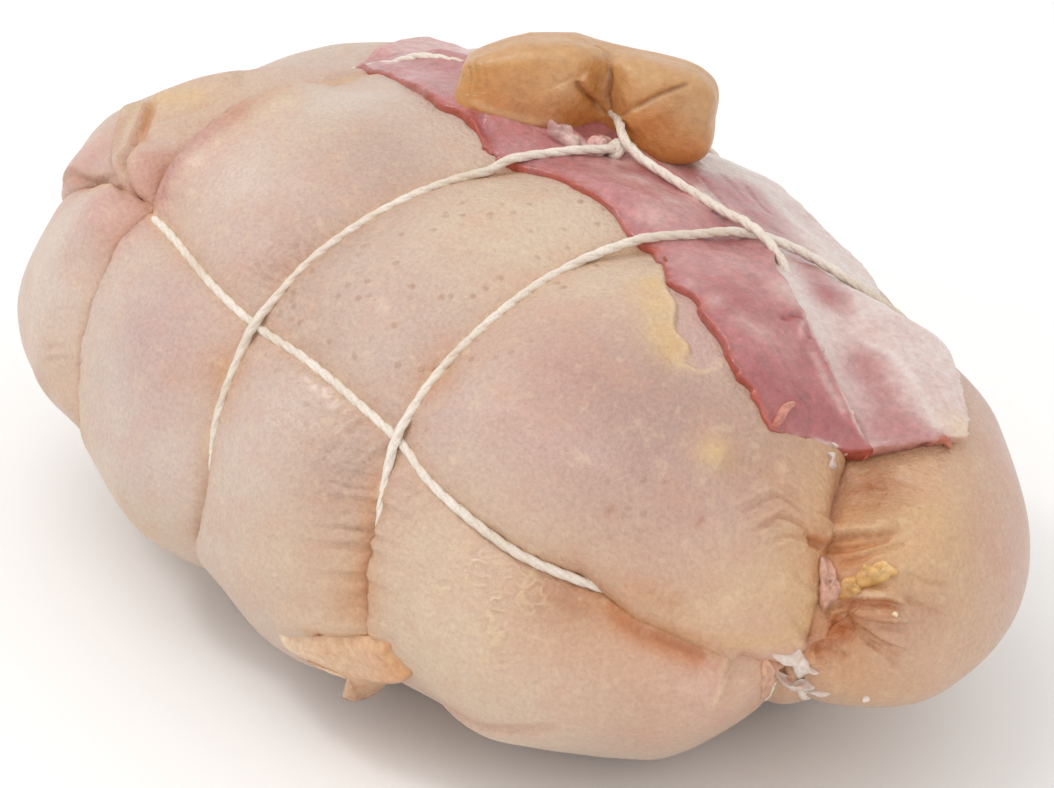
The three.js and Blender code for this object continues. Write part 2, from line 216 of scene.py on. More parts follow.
def along(stations, xi):
    """Value at xi (-1 to 1) on a smooth curve through evenly spaced stations."""
    values = np.asarray(stations, float)
    last = len(values) - 1
    t = (np.clip(xi, -1, 1) + 1) / 2 * last
    i = np.minimum(t.astype(int), last - 1)
    f = t - i
    a, b, c, d = values[np.maximum(i - 1, 0)], values[i], values[i + 1], values[np.minimum(i + 2, last)]
    bend = (2 * a - 5 * b + 4 * c - d) * f**2 + (3 * b - a - 3 * c + d) * f**3
    return 0.5 * (2 * b + (c - a) * f + bend)


def unit(vectors):
    return vectors / np.maximum(np.linalg.norm(vectors, axis=-1, keepdims=True), 1e-12)


def near_to(points, centre, reach):
    """How near points lie to a centre: 1 there, and 0 far beyond the reach."""
    return np.exp(-((points - centre) ** 2).sum(1) / reach**2)

def direction(x, degrees):
    """Unit direction whose point on the roll is at x, at this angle round it."""
    xi = np.asarray(x, float) / HALF_LENGTH
    lengthwise = np.sign(xi) * np.abs(xi) ** (1 / END_ROUNDNESS)
    across = np.sqrt(np.clip(1 - lengthwise**2, 0, 1))
    angle = np.radians(degrees)
    return np.stack([lengthwise, across * np.cos(angle), across * np.sin(angle)], -1)


def envelope(dirs):
    """Points of the smooth roll, before twine and lobes, in unit directions."""
    xi = np.sign(dirs[:, 0]) * np.abs(dirs[:, 0]) ** END_ROUNDNESS
    across = np.hypot(dirs[:, 1], dirs[:, 2])
    angle = np.arctan2(dirs[:, 2], dirs[:, 1])
    c, s = np.cos(angle), np.sin(angle)
    power = np.where(s > 0, UPPER_SECTION_POWER, LOWER_SECTION_POWER)
    size = across**END_ROUNDNESS * (np.abs(c) ** power + np.abs(s) ** power) ** (-1 / power)
    width = np.where(c > 0, along(RIGHT_HALF_WIDTH, xi), along(LEFT_HALF_WIDTH, xi))
    height = np.where(s > 0, along(RISE, xi), along(DROP, xi))
    return np.stack([
        HALF_LENGTH * xi,
        along(SIDE_SHIFT, xi) + width * size * c,
        along(WIDEST_LEVEL, xi) + height * size * s,
    ], -1)


def envelope_normal(dirs, step=0.004):
    """Outward normals of the smooth roll."""
    guide = np.where(np.abs(dirs[:, 2:]) < 0.8, [[0, 0, 1.0]], [[0, 1.0, 0]])
    first = unit(np.cross(guide, dirs))
    second = np.cross(dirs, first)

    def slope(tangent):
        return envelope(unit(dirs + step * tangent)) - envelope(unit(dirs - step * tangent))

    return unit(np.cross(slope(first), slope(second)))


def smooth_line(keys, steps, closed=False):
    """Fine line through keys, which may carry more values than x, y and z."""
    keys = np.asarray(keys, float)
    t = np.linspace(0, 1, steps, endpoint=False)[:, None]
    count = len(keys)
    pieces = []
    for i in range(count if closed else count - 1):
        near = [i - 1, i, i + 1, i + 2]
        near = [k % count for k in near] if closed else np.clip(near, 0, count - 1)
        a, b, c, d = (keys[k] for k in near)
        bend = (2 * a - 5 * b + 4 * c - d) * t**2 + (3 * b - a - 3 * c + d) * t**3
        pieces.append(0.5 * (2 * b + (c - a) * t + bend))
    if not closed:
        pieces.append(keys[-1:])
    return np.concatenate(pieces)


def nearest(points, line, closed=False):
    """For each point, the closest sample of a fine line, and the way from the line to the point."""
    closest = np.empty(len(points), int)
    squares = (line**2).sum(1)
    for start in range(0, len(points), BLOCK):
        block = points[start:start + BLOCK]
        closest[start:start + BLOCK] = np.argmin(squares - 2 * block @ line.T, axis=1)
    if closed:
        ahead = unit(np.roll(line, -1, 0) - np.roll(line, 1, 0))
    else:
        ahead = unit(np.gradient(line, axis=0))
    spacing = np.linalg.norm(np.diff(line, axis=0), axis=1).max()
    way = points - line[closest]
    run = (way * ahead[closest]).sum(1)
    return closest, way - ahead[closest] * np.clip(run, -spacing, spacing)[:, None]


class Route:
    """One tied run: its fine line on the smooth roll, with its groove, lift and rolled skin."""

    def __init__(self, stations):
        stations = np.asarray(stations, float)
        keys = direction(stations[:, 0], stations[:, 1])
        self.dirs = unit(smooth_line(keys, ROUTE_STEPS, closed=True))
        share = np.arange(len(self.dirs)) / ROUTE_STEPS
        self.depth, self.lift, self.rolled = (
            np.interp(share, np.arange(len(keys) + 1), np.append(column, column[0]))
            for column in stations[:, 2:].T
        )
        self.line = envelope(self.dirs)
        ahead = unit(np.roll(self.line, -1, 0) - np.roll(self.line, 1, 0))
        self.side = unit(np.cross(ahead, envelope_normal(self.dirs)))
        steps = np.linalg.norm(np.roll(self.line, -1, 0) - self.line, axis=1)
        self.length = np.concatenate([[0], np.cumsum(steps)[:-1]])


routes = {name: Route(stations) for name, stations in TWINE_ROUTES.items()}


def tied_skin(dirs, offset=0.0, bridged=False):
    """Points of the tied roll, an offset above its skin, and how shaded by and near a crease each is.

    Bridged, it is the surface that a slice takes, which spans the creases that skin rolls over."""
    points = envelope(dirs)
    normals = envelope_normal(dirs)
    height = np.full(len(points), SWELLING)
    for x, angle, rise, reach in LOBES.values():
        centre = envelope(direction([x], [angle]))
        height += rise * near_to(points, centre, reach)
    grooves = np.zeros(len(points))
    shift = np.zeros_like(points)
    shade = np.zeros(len(points))
    crease = np.full(len(points), FAR_OFF)
    for route in routes.values():
        closest, way = nearest(points, route.line, closed=True)
        distance = np.linalg.norm(way, axis=1)
        side = route.side[closest]
        rolled = route.rolled[closest]
        depth = route.depth[closest]
        lip = np.clip((way * side).sum(1) * np.sign(rolled) / np.maximum(distance, 1e-6), 0, 1) > 0.01
        q = np.clip(distance / GROOVE_REACH, 0, 1)
        wide = (1 - q) ** 2 * (1 + 2 * q)
        pressed = (1 - PRESSED_SHARE) * wide + PRESSED_SHARE * np.exp(-distance / PRESSED_REACH)
        turn = np.clip(distance / LIP_WIDTH, 0, 1) * math.pi
        round_lip = (1 - ROLLED_SHARE) * wide + ROLLED_SHARE * (1 + np.cos(turn)) / 2
        under = (1 - UNDER_SHARE) * wide + UNDER_SHARE * np.exp(-((distance / UNDER_REACH) ** 2))
        crease_form = np.where(lip, round_lip, under)
        if bridged:
            lip, pressed, crease_form = np.zeros_like(lip), wide, (1 - ROLLED_SHARE) * wide
        form = pressed + np.abs(rolled) * (crease_form - pressed)
        grooves += (depth * form) ** GROOVE_BLEND
        radius = depth * ROLLED_SHARE / 2
        past_lip = np.maximum(distance - LIP_WIDTH, 0)
        rolled_out = np.minimum(distance, LIP_WIDTH) * np.exp(-past_lip / OVERHANG_FADE)
        overhang = np.where(lip, radius * np.sin(turn) + rolled_out, 0) * rolled
        shift -= side * overhang[:, None]
        crease = np.minimum(crease, distance)
        # Painted shade on the side that lies under a rolled lip, stronger the deeper the crease.
        covered = np.where(lip, 0, np.abs(rolled)) * depth / DEEPEST * np.exp(-distance / SHADE_REACH)
        shade = np.maximum(shade, covered)
    grooves **= 1 / GROOVE_BLEND
    points = points + shift + normals * (height - grooves + offset)[:, None]
    points[:, 2] = np.maximum(points[:, 2], FLOOR - np.maximum(offset, 0))
    return points, shade, crease


def placed(points):
    """The roll's own millimetres as metres of the frame."""
    return (points + MIDDLE) * MM


def lumps(points, size, seed):
    """Smooth random values from -1 to 1 over points, in lumps of this size."""
    cell = np.asarray(points, float) / size
    low = np.floor(cell).astype(np.int64)
    part = cell - low
    part = part * part * (3 - 2 * part)
    total = np.zeros(len(cell))
    for corner in itertools.product((0, 1), repeat=cell.shape[1]):
        at = low + corner
        mixed = seed * 374761393
        for axis, prime in zip(range(cell.shape[1]), (73856093, 19349663, 83492791)):
            mixed = mixed ^ (at[:, axis] * prime)
        mixed = (mixed ^ (mixed >> 13)) * 1274126177 & 0x7FFFFFFF
        mixed = (mixed ^ (mixed >> 15)) * 668265263 & 0x7FFFFFFF
        weight = np.prod(np.where(np.array(corner) == 1, part, 1 - part), axis=1)
        total += weight * (mixed / 0x7FFFFFFF * 2 - 1)
    return total


def even_ball(cells):
    """Directions and triangles of a ball made of six grids of even cells."""
    step = np.tan(np.linspace(-1, 1, cells + 1) * math.pi / 4)
    u, v = (grid.ravel() for grid in np.meshgrid(step, step, indexing="ij"))
    one = np.ones_like(u)
    sheets = [(one, u, v), (-one, v, u), (v, one, u), (u, -one, v), (u, v, one), (v, u, -one)]
    corners = np.concatenate([np.stack(sheet, -1) for sheet in sheets])
    _, first, same = np.unique(np.round(corners, 7), axis=0, return_index=True, return_inverse=True)
    row = np.arange(cells * (cells + 1)).reshape(cells, cells + 1)[:, :-1].ravel()
    near, far = row, row + cells + 1
    sheet = np.concatenate([np.stack([near, far, far + 1], -1), np.stack([near, far + 1, near + 1], -1)])
    triangles = np.concatenate([sheet + k * (cells + 1) ** 2 for k in range(6)])
    return unit(corners[first]), same.ravel()[triangles]


def divided(dirs, triangles, chosen):
    """The same ball with the chosen triangles cut in four, and their neighbours cut to fit."""
    count = len(dirs)
    edges = np.sort(np.stack([triangles, np.roll(triangles, -1, 1)], -1), -1)
    keys = edges[..., 0] * count + edges[..., 1]
    split = np.isin(keys, keys[chosen])
    names, where = np.unique(keys[split], return_inverse=True)
    middles = unit(dirs[names // count] + dirs[names % count])
    middle = np.full(keys.shape, -1)
    middle[split] = count + where.ravel()
    cuts = split.sum(1)
    t, m = triangles[cuts == 3], middle[cuts == 3]
    made = [triangles[cuts == 0], m]
    made += [np.stack([t[:, k], m[:, k], m[:, k - 1]], 1) for k in range(3)]
    for k in range(3):
        ahead, behind = (k + 1) % 3, (k + 2) % 3
        rows = (cuts == 1) & split[:, k]
        t, m = triangles[rows], middle[rows]
        made.append(np.stack([t[:, k], m[:, k], t[:, behind]], 1))
        made.append(np.stack([m[:, k], t[:, ahead], t[:, behind]], 1))
        rows = (cuts == 2) & ~split[:, k]
        t, m = triangles[rows], middle[rows]
        made.append(np.stack([t[:, behind], m[:, behind], m[:, ahead]], 1))
        made.append(np.stack([t[:, k], t[:, ahead], m[:, ahead]], 1))
        made.append(np.stack([t[:, k], m[:, ahead], m[:, behind]], 1))
    return np.concatenate([dirs, middles]), np.concatenate(made)


def vertex_normals(points, triangles):
    a, b, c = (points[triangles[:, k]] for k in range(3))
    faces = np.cross(b - a, c - a)
    total = np.zeros_like(points)
    for k in range(3):
        for axis in range(3):
            total[:, axis] += np.bincount(triangles[:, k], faces[:, axis], len(points))
    return unit(total)


BALL_CELLS = 45
PICK_PIXELS = 8               # how far from a traced place a point of the surface may be seen
PICK_DEPTH = 6 * MM           # and how far behind the foremost such point
HARDLY_SHOWN = -0.3           # a normal's part towards the camera where the surface has turned away
FINE_REACH = 4                # from a crease, within which the skin is divided once more
FINER_REACH = 3               # and on the side that the picture shows, once again


def toned(colours, share, tone):
    """Colours taken a share of the way to a tone."""
    return colours + share[:, None] * (tone - colours)

class Flesh:
    """A soft surface as it is being formed: its points and triangles, and how the camera sees them."""

    def __init__(self, points, triangles):
        self.points, self.triangles = points, triangles
        self.look()

    def look(self):
        self.normals = vertex_normals(self.points, self.triangles)
        self.shown = self.normals @ towards_camera
        self.pixels, self.depths = picture_place(placed(self.points))

    def at(self, places):
        """Points of the surface at places traced in the picture."""
        found = []
        for place in places:
            off = np.linalg.norm(self.pixels - place, axis=1)
            seen = (off < max(PICK_PIXELS, np.partition(off, 3)[3])) & (self.shown > HARDLY_SHOWN)
            near = np.flatnonzero(seen)
            front = near[self.depths[near] < self.depths[near].min() + PICK_DEPTH]
            found.append(self.points[front[np.argmin(off[front])]])
        return np.array(found)

    def beside(self, line, reach):
        """Which points lie within reach of a line, how far, on which side (left +) and how far along it."""
        low, high = line.min(0) - reach, line.max(0) + reach
        near = np.flatnonzero(((self.points > low) & (self.points < high)).all(1))
        closest, way = nearest(self.points[near], line)
        distance = np.linalg.norm(way, axis=1)
        ahead = unit(np.gradient(line, axis=0))[closest]
        left = (np.cross(self.normals[near], ahead) * way).sum(1)
        keep = distance < reach
        return near[keep], distance[keep], left[keep], closest[keep] / (len(line) - 1)

    def fold(self, folds, lines):
        """Height of ridges (+) and furrows (-) along lines, each with its width and height."""
        relief = np.zeros(len(self.points))
        for name, (width, height, _) in folds.items():
            near, distance, _, share = self.beside(lines[name], width * 3)
            taper = np.clip(np.minimum(share, 1 - share) * 5, 0, 1)
            relief[near] += height * np.exp(-((distance / width) ** 2)) * np.sin(taper * math.pi / 2)
        return relief

    def paint(self, base, patches, stripes=()):
        """Colour of each point: a base, with soft patches and stripes of other colours at traced places."""
        colour = np.tile(base, (len(self.points), 1))
        for tone, strength, reach, places in patches:
            for centre in self.at(places):
                colour = toned(colour, strength * near_to(self.points, centre, reach), tone)
        for tone, strength, width, places in stripes:
            near, distance, _, run = self.beside(traced(self, places), width * 2.5)
            ends = np.clip(np.minimum(run, 1 - run) * 8 + 0.3, 0, 1)
            colour[near] = toned(colour[near], strength * np.exp(-((distance / width) ** 2)) * ends, tone)
        return colour

    def raise_by(self, relief):
        self.points = self.points + self.normals * relief[:, None]
        self.points[:, 2] = np.maximum(self.points[:, 2], FLOOR)
        self.look()


def traced(flesh, places, steps=12):
    """Smooth line on a surface through places seen in the picture."""
    return smooth_line(flesh.at(places), steps)


def formed_skin(dirs, triangles):
    """The skin's directions, the skin that they form, and how shaded by and near a crease each point is."""
    points, shade, crease = tied_skin(dirs)
    return dirs, Flesh(points, triangles), shade, crease


def divided_skin(chosen):
    return formed_skin(*divided(skin_dirs, skin.triangles, chosen[skin.triangles].any(1)))


skin_dirs, skin, shade, crease = formed_skin(*even_ball(BALL_CELLS))
skin_dirs, skin, shade, crease = divided_skin((skin.shown > -0.1) | (crease < FINE_REACH))

# Folds of the skin and the flesh, traced in the picture: width and height in millimetres (a furrow's height
# is negative), then the places along it.
FOLDS = {
    # wrinkles drawn together beside the cleft
    "gather 1": (.5, .5, [(742, 528), (764, 516), (782, 512), (801, 519), (812, 533)]),
    "gather 2": (.4, -.5, [(748, 532), (766, 521), (782, 517), (799, 525), (810, 537)]),
    "gather 3": (.5, .5, [(734, 505), (752, 494), (776, 492), (797, 503), (812, 524)]),
    "gather 4": (.4, -.5, [(744, 510), (760, 501), (778, 499), (798, 510), (811, 529)]),
    "gather 5": (1.0, .5, [(752, 480), (776, 480), (800, 492), (816, 512)]),
    "gather 6": (.4, .4, [(764, 530), (784, 526), (806, 536)]),
    "gather 7": (.4, -.4, [(768, 541), (790, 536), (808, 541)]),
    "gather 8": (.4, .35, [(770, 551), (790, 546), (808, 545)]),
    "gather pit": (1.1, -1.5, [(811, 540), (816, 543), (820, 548)]),
    "edge hollow": (3.0, -1.0, [(843, 470), (834, 492), (826, 512), (824, 528)]),
    "seam of muscle": (3.5, -.9, [(722, 458), (745, 465), (765, 470), (786, 477)]),
    # the round pad under them
    "pad ridge": (5.0, 1.2, [(816, 575), (806, 596), (786, 614), (756, 628), (720, 630), (690, 620)]),
    "pad flat": (7.0, -1.2, [(824, 600), (818, 624), (800, 640)]),
    # fine furrows that run out from the cleft over the right lobe
    "fan 1": (.7, -1.0, [(824, 549), (848, 547), (870, 544), (892, 541)]),
    "fan 2": (.6, -.7, [(836, 563), (858, 560), (884, 552), (908, 545)]),
    "fan 3": (.8, -1.0, [(822, 596), (840, 592), (862, 588), (888, 588)]),
    "fan 4": (2.0, -1.5, [(830, 628), (842, 627), (852, 625)]),
    "fan 5": (.6, -.7, [(852, 628), (874, 642), (898, 656)]),
    "fan 6": (.6, -.6, [(899, 596), (915, 604), (936, 613)]),
    "fan 7": (.9, -.9, [(816, 652), (832, 650), (848, 660)]),
    "fan 8": (.5, -.5, [(862, 640), (880, 652), (900, 668)]),
    "fan 9": (.5, -.5, [(904, 572), (926, 580), (950, 584)]),
    "dimple 1": (.9, -.25, [(862, 478), (872, 484), (884, 486)]),
    "dimple 2": (.8, -.2, [(866, 490), (876, 494), (886, 494)]),
    "dimple 3": (1.4, -.35, [(848, 500), (862, 504), (878, 502)]),
    "lobe streak 1": (.6, -.35, [(893, 478), (912, 486), (934, 492)]),
    "lobe streak 2": (.6, .35, [(900, 500), (920, 510), (946, 514)]),
    # creases at the string between the middle and the lower lobes
    "pucker 1": (.5, -0.27, [(379, 492), (352, 486), (322, 480)]),
    "pucker 2": (.5, -0.30, [(377, 517), (356, 513), (336, 514)]),
    "pucker 3": (.5, -0.33, [(375, 526), (352, 527), (332, 525)]),
    "pucker 4": (.5, -0.30, [(374, 537), (356, 541), (336, 548)]),
    "pucker 5": (.6, -0.27, [(372, 551), (356, 558), (344, 568)]),
    "pucker 6": (.7, -0.30, [(371, 590), (360, 596), (350, 604)]),
    "pucker 7": (.5, -0.24, [(384, 472), (362, 466), (340, 462)]),
    "string wrinkle 1": (.35, -.32, [(258, 259), (263, 270), (268, 281)]),
    "string wrinkle 2": (.35, -.25, [(275, 262), (277, 272), (280, 282)]),
    "string wrinkle 3": (.35, -.25, [(290, 258), (293, 268), (297, 277)]),
    "string wrinkle 4": (.4, -.35, [(299, 244), (301, 256), (304, 267)]),
    "string wrinkle 5": (.4, -.35, [(307, 240), (309, 249), (312, 258)]),
    "string wrinkle 6": (.35, -.25, [(316, 236), (316, 246), (315, 254)]),
    "lower fold": (1.2, -1.4, [(310, 636), (338, 640), (361, 640), (388, 646)]),
    "lower fold lip": (2.6, .9, [(276, 616), (300, 624), (330, 629), (362, 629), (384, 631)]),
    # the far end
    "back ridge": (5.0, 1.5, [(150, 104), (190, 88), (240, 78)]),
    "back streak 1": (1.6, -.7, [(150, 122), (180, 110), (216, 100)]),
    "back streak 2": (1.6, -.8, [(176, 138), (204, 122), (240, 106)]),
    "far fold 1": (5.0, -.8, [(60, 260), (84, 262), (100, 272)]),
    "far fold 2": (3.0, -.6, [(40, 392), (62, 380), (84, 372)]),
    "far fold 3": (3.0, -.5, [(48, 330), (70, 322), (88, 322)]),
    "far wrinkle 1": (.7, -.5, [(44, 352), (60, 346), (80, 350)]),
    "far wrinkle 2": (.7, -.5, [(42, 362), (60, 358), (82, 362)]),
}

# Pleats of skin, which end in a steep edge: height, reach in millimetres, and the edge. The raised side is
# on the left of the way along it.
PLEATS = {
    "fan A": (1.5, 4, [(822, 541), (836, 538), (856, 535), (880, 534), (898, 531)]),
    "fan C": (1.8, 4, [(828, 604), (846, 600), (866, 599), (886, 601), (906, 606)]),
    "fan D": (1.7, 2.6, [(826, 615), (846, 614), (866, 616), (890, 618), (908, 621)]),
    "fan F": (1.7, 5, [(846, 618), (862, 627), (878, 636), (906, 650)]),
    "fan G": (1.2, 5, [(806, 648), (820, 640), (836, 640), (848, 632)]),
    "foot": (.9, 7, [(560, 728), (543, 725), (507, 719), (470, 710), (440, 696)]),
    "upper muscle": (1.0, 6, [(58, 184), (70, 178), (84, 175), (103, 179), (118, 175)]),
    "skin strip": (2.4, 2.0, [(142, 99), (130, 112), (122, 126), (119, 146), (120, 166), (124, 182)]),
    "skin strip back": (2.2, 1.8, [(134, 186), (131, 168), (133, 148), (141, 130), (147, 113), (150, 102)]),
    "inner lobe": (1.4, 5, [(146, 140), (137, 152), (134, 168), (137, 182), (144, 196), (153, 208)]),
    "big lobe edge": (3.2, 8, [(330, 80), (296, 92), (260, 108), (224, 128), (194, 150), (174, 175),
                               (162, 200)]),
    "far bulge": (1.4, 6, [(128, 206), (112, 196), (96, 196), (80, 204)]),
}

# Soft swellings and dents of the visible side: reach and height in millimetres, and the place.
DENTS = [
    (8, 1.2, (86, 165)), (8, 2.0, (104, 218)), (5, 3.4, (148, 170)), (16, 1.5, (300, 130)),
    (20, 1.2, (560, 470)),
    (12, 3.0, (500, 716)), (12, -1.2, (700, 500)), (14, 1.0, (900, 560)), (10, -1.5, (880, 480)),
    (16, -1.2, (620, 750)),
    (16, -2.2, (400, 72)), (7, 1.6, (112, 218)),
]

# Cut edges of the skin, traced so that the bare flesh lies on the left of the way along them: the window
# beside the bacon, and the end of the lower lobe.
SKIN_EDGES = {
    "window": [(664, 258), (668, 285), (674, 306), (678, 330), (688, 346), (684, 362)],
    "window foot": [(684, 363), (700, 367), (713, 363), (720, 350)],
    "lobe end": [(741, 648), (733, 653), (728, 666), (722, 684), (713, 702), (706, 718)],
}
SKIN_EDGE_HEIGHT = {"window": 1.0, "window foot": 0.5, "lobe end": 2.0}
BARE_REACH = {"window": 9, "window foot": 3, "lobe end": 10}

# Places whose skin is divided once more: reach in millimetres, and the place.
FINE_PLACES = [(22, (852, 585)), (13, (785, 518)), (14, (352, 520)), (11, (290, 262)), (9, (690, 320)),
               (9, (118, 140)), (11, (500, 600))]
PUCKER_HEIGHT = 0.24          # of the fine wrinkles that the string draws in the skin
PUCKER_REACH = 9
PUCKER_SPACING = 1.0
SWELL_SIZE = 26
SWELL_HEIGHT = 0.7
RIPPLE_SIZE = 7
RIPPLE_HEIGHT = 0.16
FRAY_SIZE = 1.6
FRAY_HEIGHT = 0.35            # of the uneven lip of a crease
OPEN_SHADE = 0.05             # a point less shaded than this does not lie under a lip
FOLD_MARGIN = 2.5             # beside a fold, and beside an edge, where the skin is divided once more
EDGE_MARGIN = 3
FAT_BUMPS = {"place": (500, 600), "reach": 13, "size": 1.6, "height": 0.4}
PUCKERED = [(14, (350, 520)), (7, (290, 262)), (7, (650, 318)), (9, (772, 508)), (8, (345, 440))]

lines = {name: traced(skin, places) for name, (_, _, places) in FOLDS.items()}
edge_lines = {name: traced(skin, places) for name, places in SKIN_EDGES.items()}
pleat_lines = {name: traced(skin, places) for name, (_, _, places) in PLEATS.items()}
close = np.zeros(len(skin.points), bool)
for name, line in lines.items():
    close[skin.beside(line, FOLD_MARGIN + FOLDS[name][0])[0]] = True
for line in (*pleat_lines.values(), *edge_lines.values()):
    close[skin.beside(line, EDGE_MARGIN)[0]] = True


def close_to(spots):
    """Which points of the skin lie within reach of one of these places."""
    return np.any([
        ((skin.points - skin.at([place])) ** 2).sum(1) < reach**2 for reach, place in spots
    ], axis=0)


finer = (crease < FINER_REACH) | close | close_to(FINE_PLACES)
skin_dirs, skin, shade, crease = divided_skin(finer & (skin.shown > 0))
skin_dirs, skin, shade, crease = divided_skin(close_to(FINE_PLACES) & (skin.shown > -0.05))

dent_centres = [skin.at([place]) for _, _, place in DENTS]


def swelling(points):
    """How far soft lumps and dents lift the skin, and all that lies on it."""
    height = SWELL_HEIGHT * lumps(points, SWELL_SIZE, 3)
    for (reach, rise, _), centre in zip(DENTS, dent_centres):
        height += rise * near_to(points, centre, reach)
    return height


relief = swelling(skin.points)
wrinkled = np.zeros(len(skin.points))
puckered = sum(1.6 * near_to(skin.points, skin.at([place]), reach) for reach, place in PUCKERED)
for route in routes.values():
    closest, way = nearest(envelope(skin_dirs), route.line, closed=True)
    distance = np.linalg.norm(way, axis=1)
    run = route.length[closest][:, None]
    patchy = 0.6 * np.clip(lumps(run, 31, 5) + 0.35, 0, 1) + puckered
    fine = lumps(run + distance[:, None] * 0.12, PUCKER_SPACING, 11)
    fade = np.exp(-distance / PUCKER_REACH) * (1 - np.exp(-distance / 1.2))
    relief += PUCKER_HEIGHT * 2 * fine * patchy * fade
    wrinkled = np.maximum(wrinkled, np.clip(-fine, 0, 1) * np.clip(puckered, 0, 1) * fade)
relief += RIPPLE_HEIGHT * lumps(skin.points, RIPPLE_SIZE, 4)
frayed = np.exp(-crease / FRAY_SIZE) * (shade < OPEN_SHADE)
relief += FRAY_HEIGHT * lumps(skin.points, FRAY_SIZE, 17) * frayed
folded = skin.fold(FOLDS, lines)
relief += folded
shadow = np.zeros(len(skin.points))
for name, (height, reach, _) in PLEATS.items():
    near, distance, left, share = skin.beside(pleat_lines[name], 3 * reach)
    taper = np.sin(np.clip(np.minimum(share, 1 - share) * 4, 0, 1) * math.pi / 2)
    steep = np.clip(0.5 + left / 0.5, 0, 1)
    relief[near] += height * taper * steep * np.exp(-((distance / reach) ** 2))
    under = np.exp(-((left + 0.8) / 0.9) ** 2) * (distance < 4) * taper
    relief[near] -= 0.3 * height * under
    shadow[near] = np.maximum(shadow[near], under * np.clip(height / 2, 0, 1))
for name, line in edge_lines.items():
    near, distance, left, share = skin.beside(line, 14)
    taper = np.clip(np.minimum(share, 1 - share) * 6, 0, 1)
    edge_side = np.clip(0.5 - left / 0.6, 0, 1)
    relief[near] += SKIN_EDGE_HEIGHT[name] * edge_side * np.exp(-distance / 5) * taper
bump_weight = near_to(skin.points, skin.at([FAT_BUMPS["place"]]), FAT_BUMPS["reach"])
bumps = 1 - 2 * np.abs(lumps(skin.points, FAT_BUMPS["size"], 9))
fat_bumps = bump_weight * np.clip(bumps - 0.35, 0, 1) * np.clip(lumps(skin.points, 5, 10) + 0.5, 0, 1)
relief += FAT_BUMPS["height"] * 2 * fat_bumps
skin.raise_by(relief)


def made_mesh(name, points, faces, colours=None):
    """Smooth mesh in the frame from points in the roll's millimetres."""
    mesh = bpy.data.meshes.new(name)
    mesh.from_pydata(placed(points).tolist(), [], faces.tolist())
    mesh.shade_smooth()
    for attribute, values in (colours or {}).items():
        if values.ndim == 2:
            layer = mesh.attributes.new(attribute, "FLOAT_COLOR", "POINT")
            full = np.concatenate([values, np.ones((len(values), 1))], 1)
            layer.data.foreach_set("color", full.astype(np.float32).ravel())
        else:
            layer = mesh.attributes.new(attribute, "FLOAT", "POINT")
            layer.data.foreach_set("value", values.astype(np.float32))
    piece = bpy.data.objects.new(name, mesh)
    bpy.context.collection.objects.link(piece)
    return piece


def tint(red, green, blue):
    """Screen colour, 0 to 255, as linear light."""
    values = np.array([red, green, blue]) / 255
    return np.where(values <= 0.04045, values / 12.92, ((values + 0.055) / 1.055) ** 2.4)


# Colours of the skin: raw poultry is cream over fat, rose and lilac over muscle, and orange where it folds,
# where some of the orange is painted shade.
CREAM = tint(228, 203, 174)
PALE = tint(226, 207, 196)
ROSE = tint(203, 150, 138)
PINK = tint(222, 178, 166)
LILAC = tint(205, 172, 168)
GREY = tint(192, 162, 148)
YELLOW = tint(232, 196, 138)
TAN = tint(222, 176, 130)
ORANGE = tint(206, 138, 84)
BROWN = tint(174, 104, 60)
GOLD = tint(206, 152, 104)
SKIN_BASE = tint(218, 194, 176)
# Painted shade of furrows, pits and the sides that lie under a lip, in the flesh's own orange.
FURROW_SHADE = tint(204, 118, 52)
PEACH = tint(234, 184, 146)
# Pale rims of cut and rolled skin, also used as painted light on ridges, lips and the tops of bumps.
PALE_RIM_AND_LIT_RIDGE = tint(236, 206, 166)

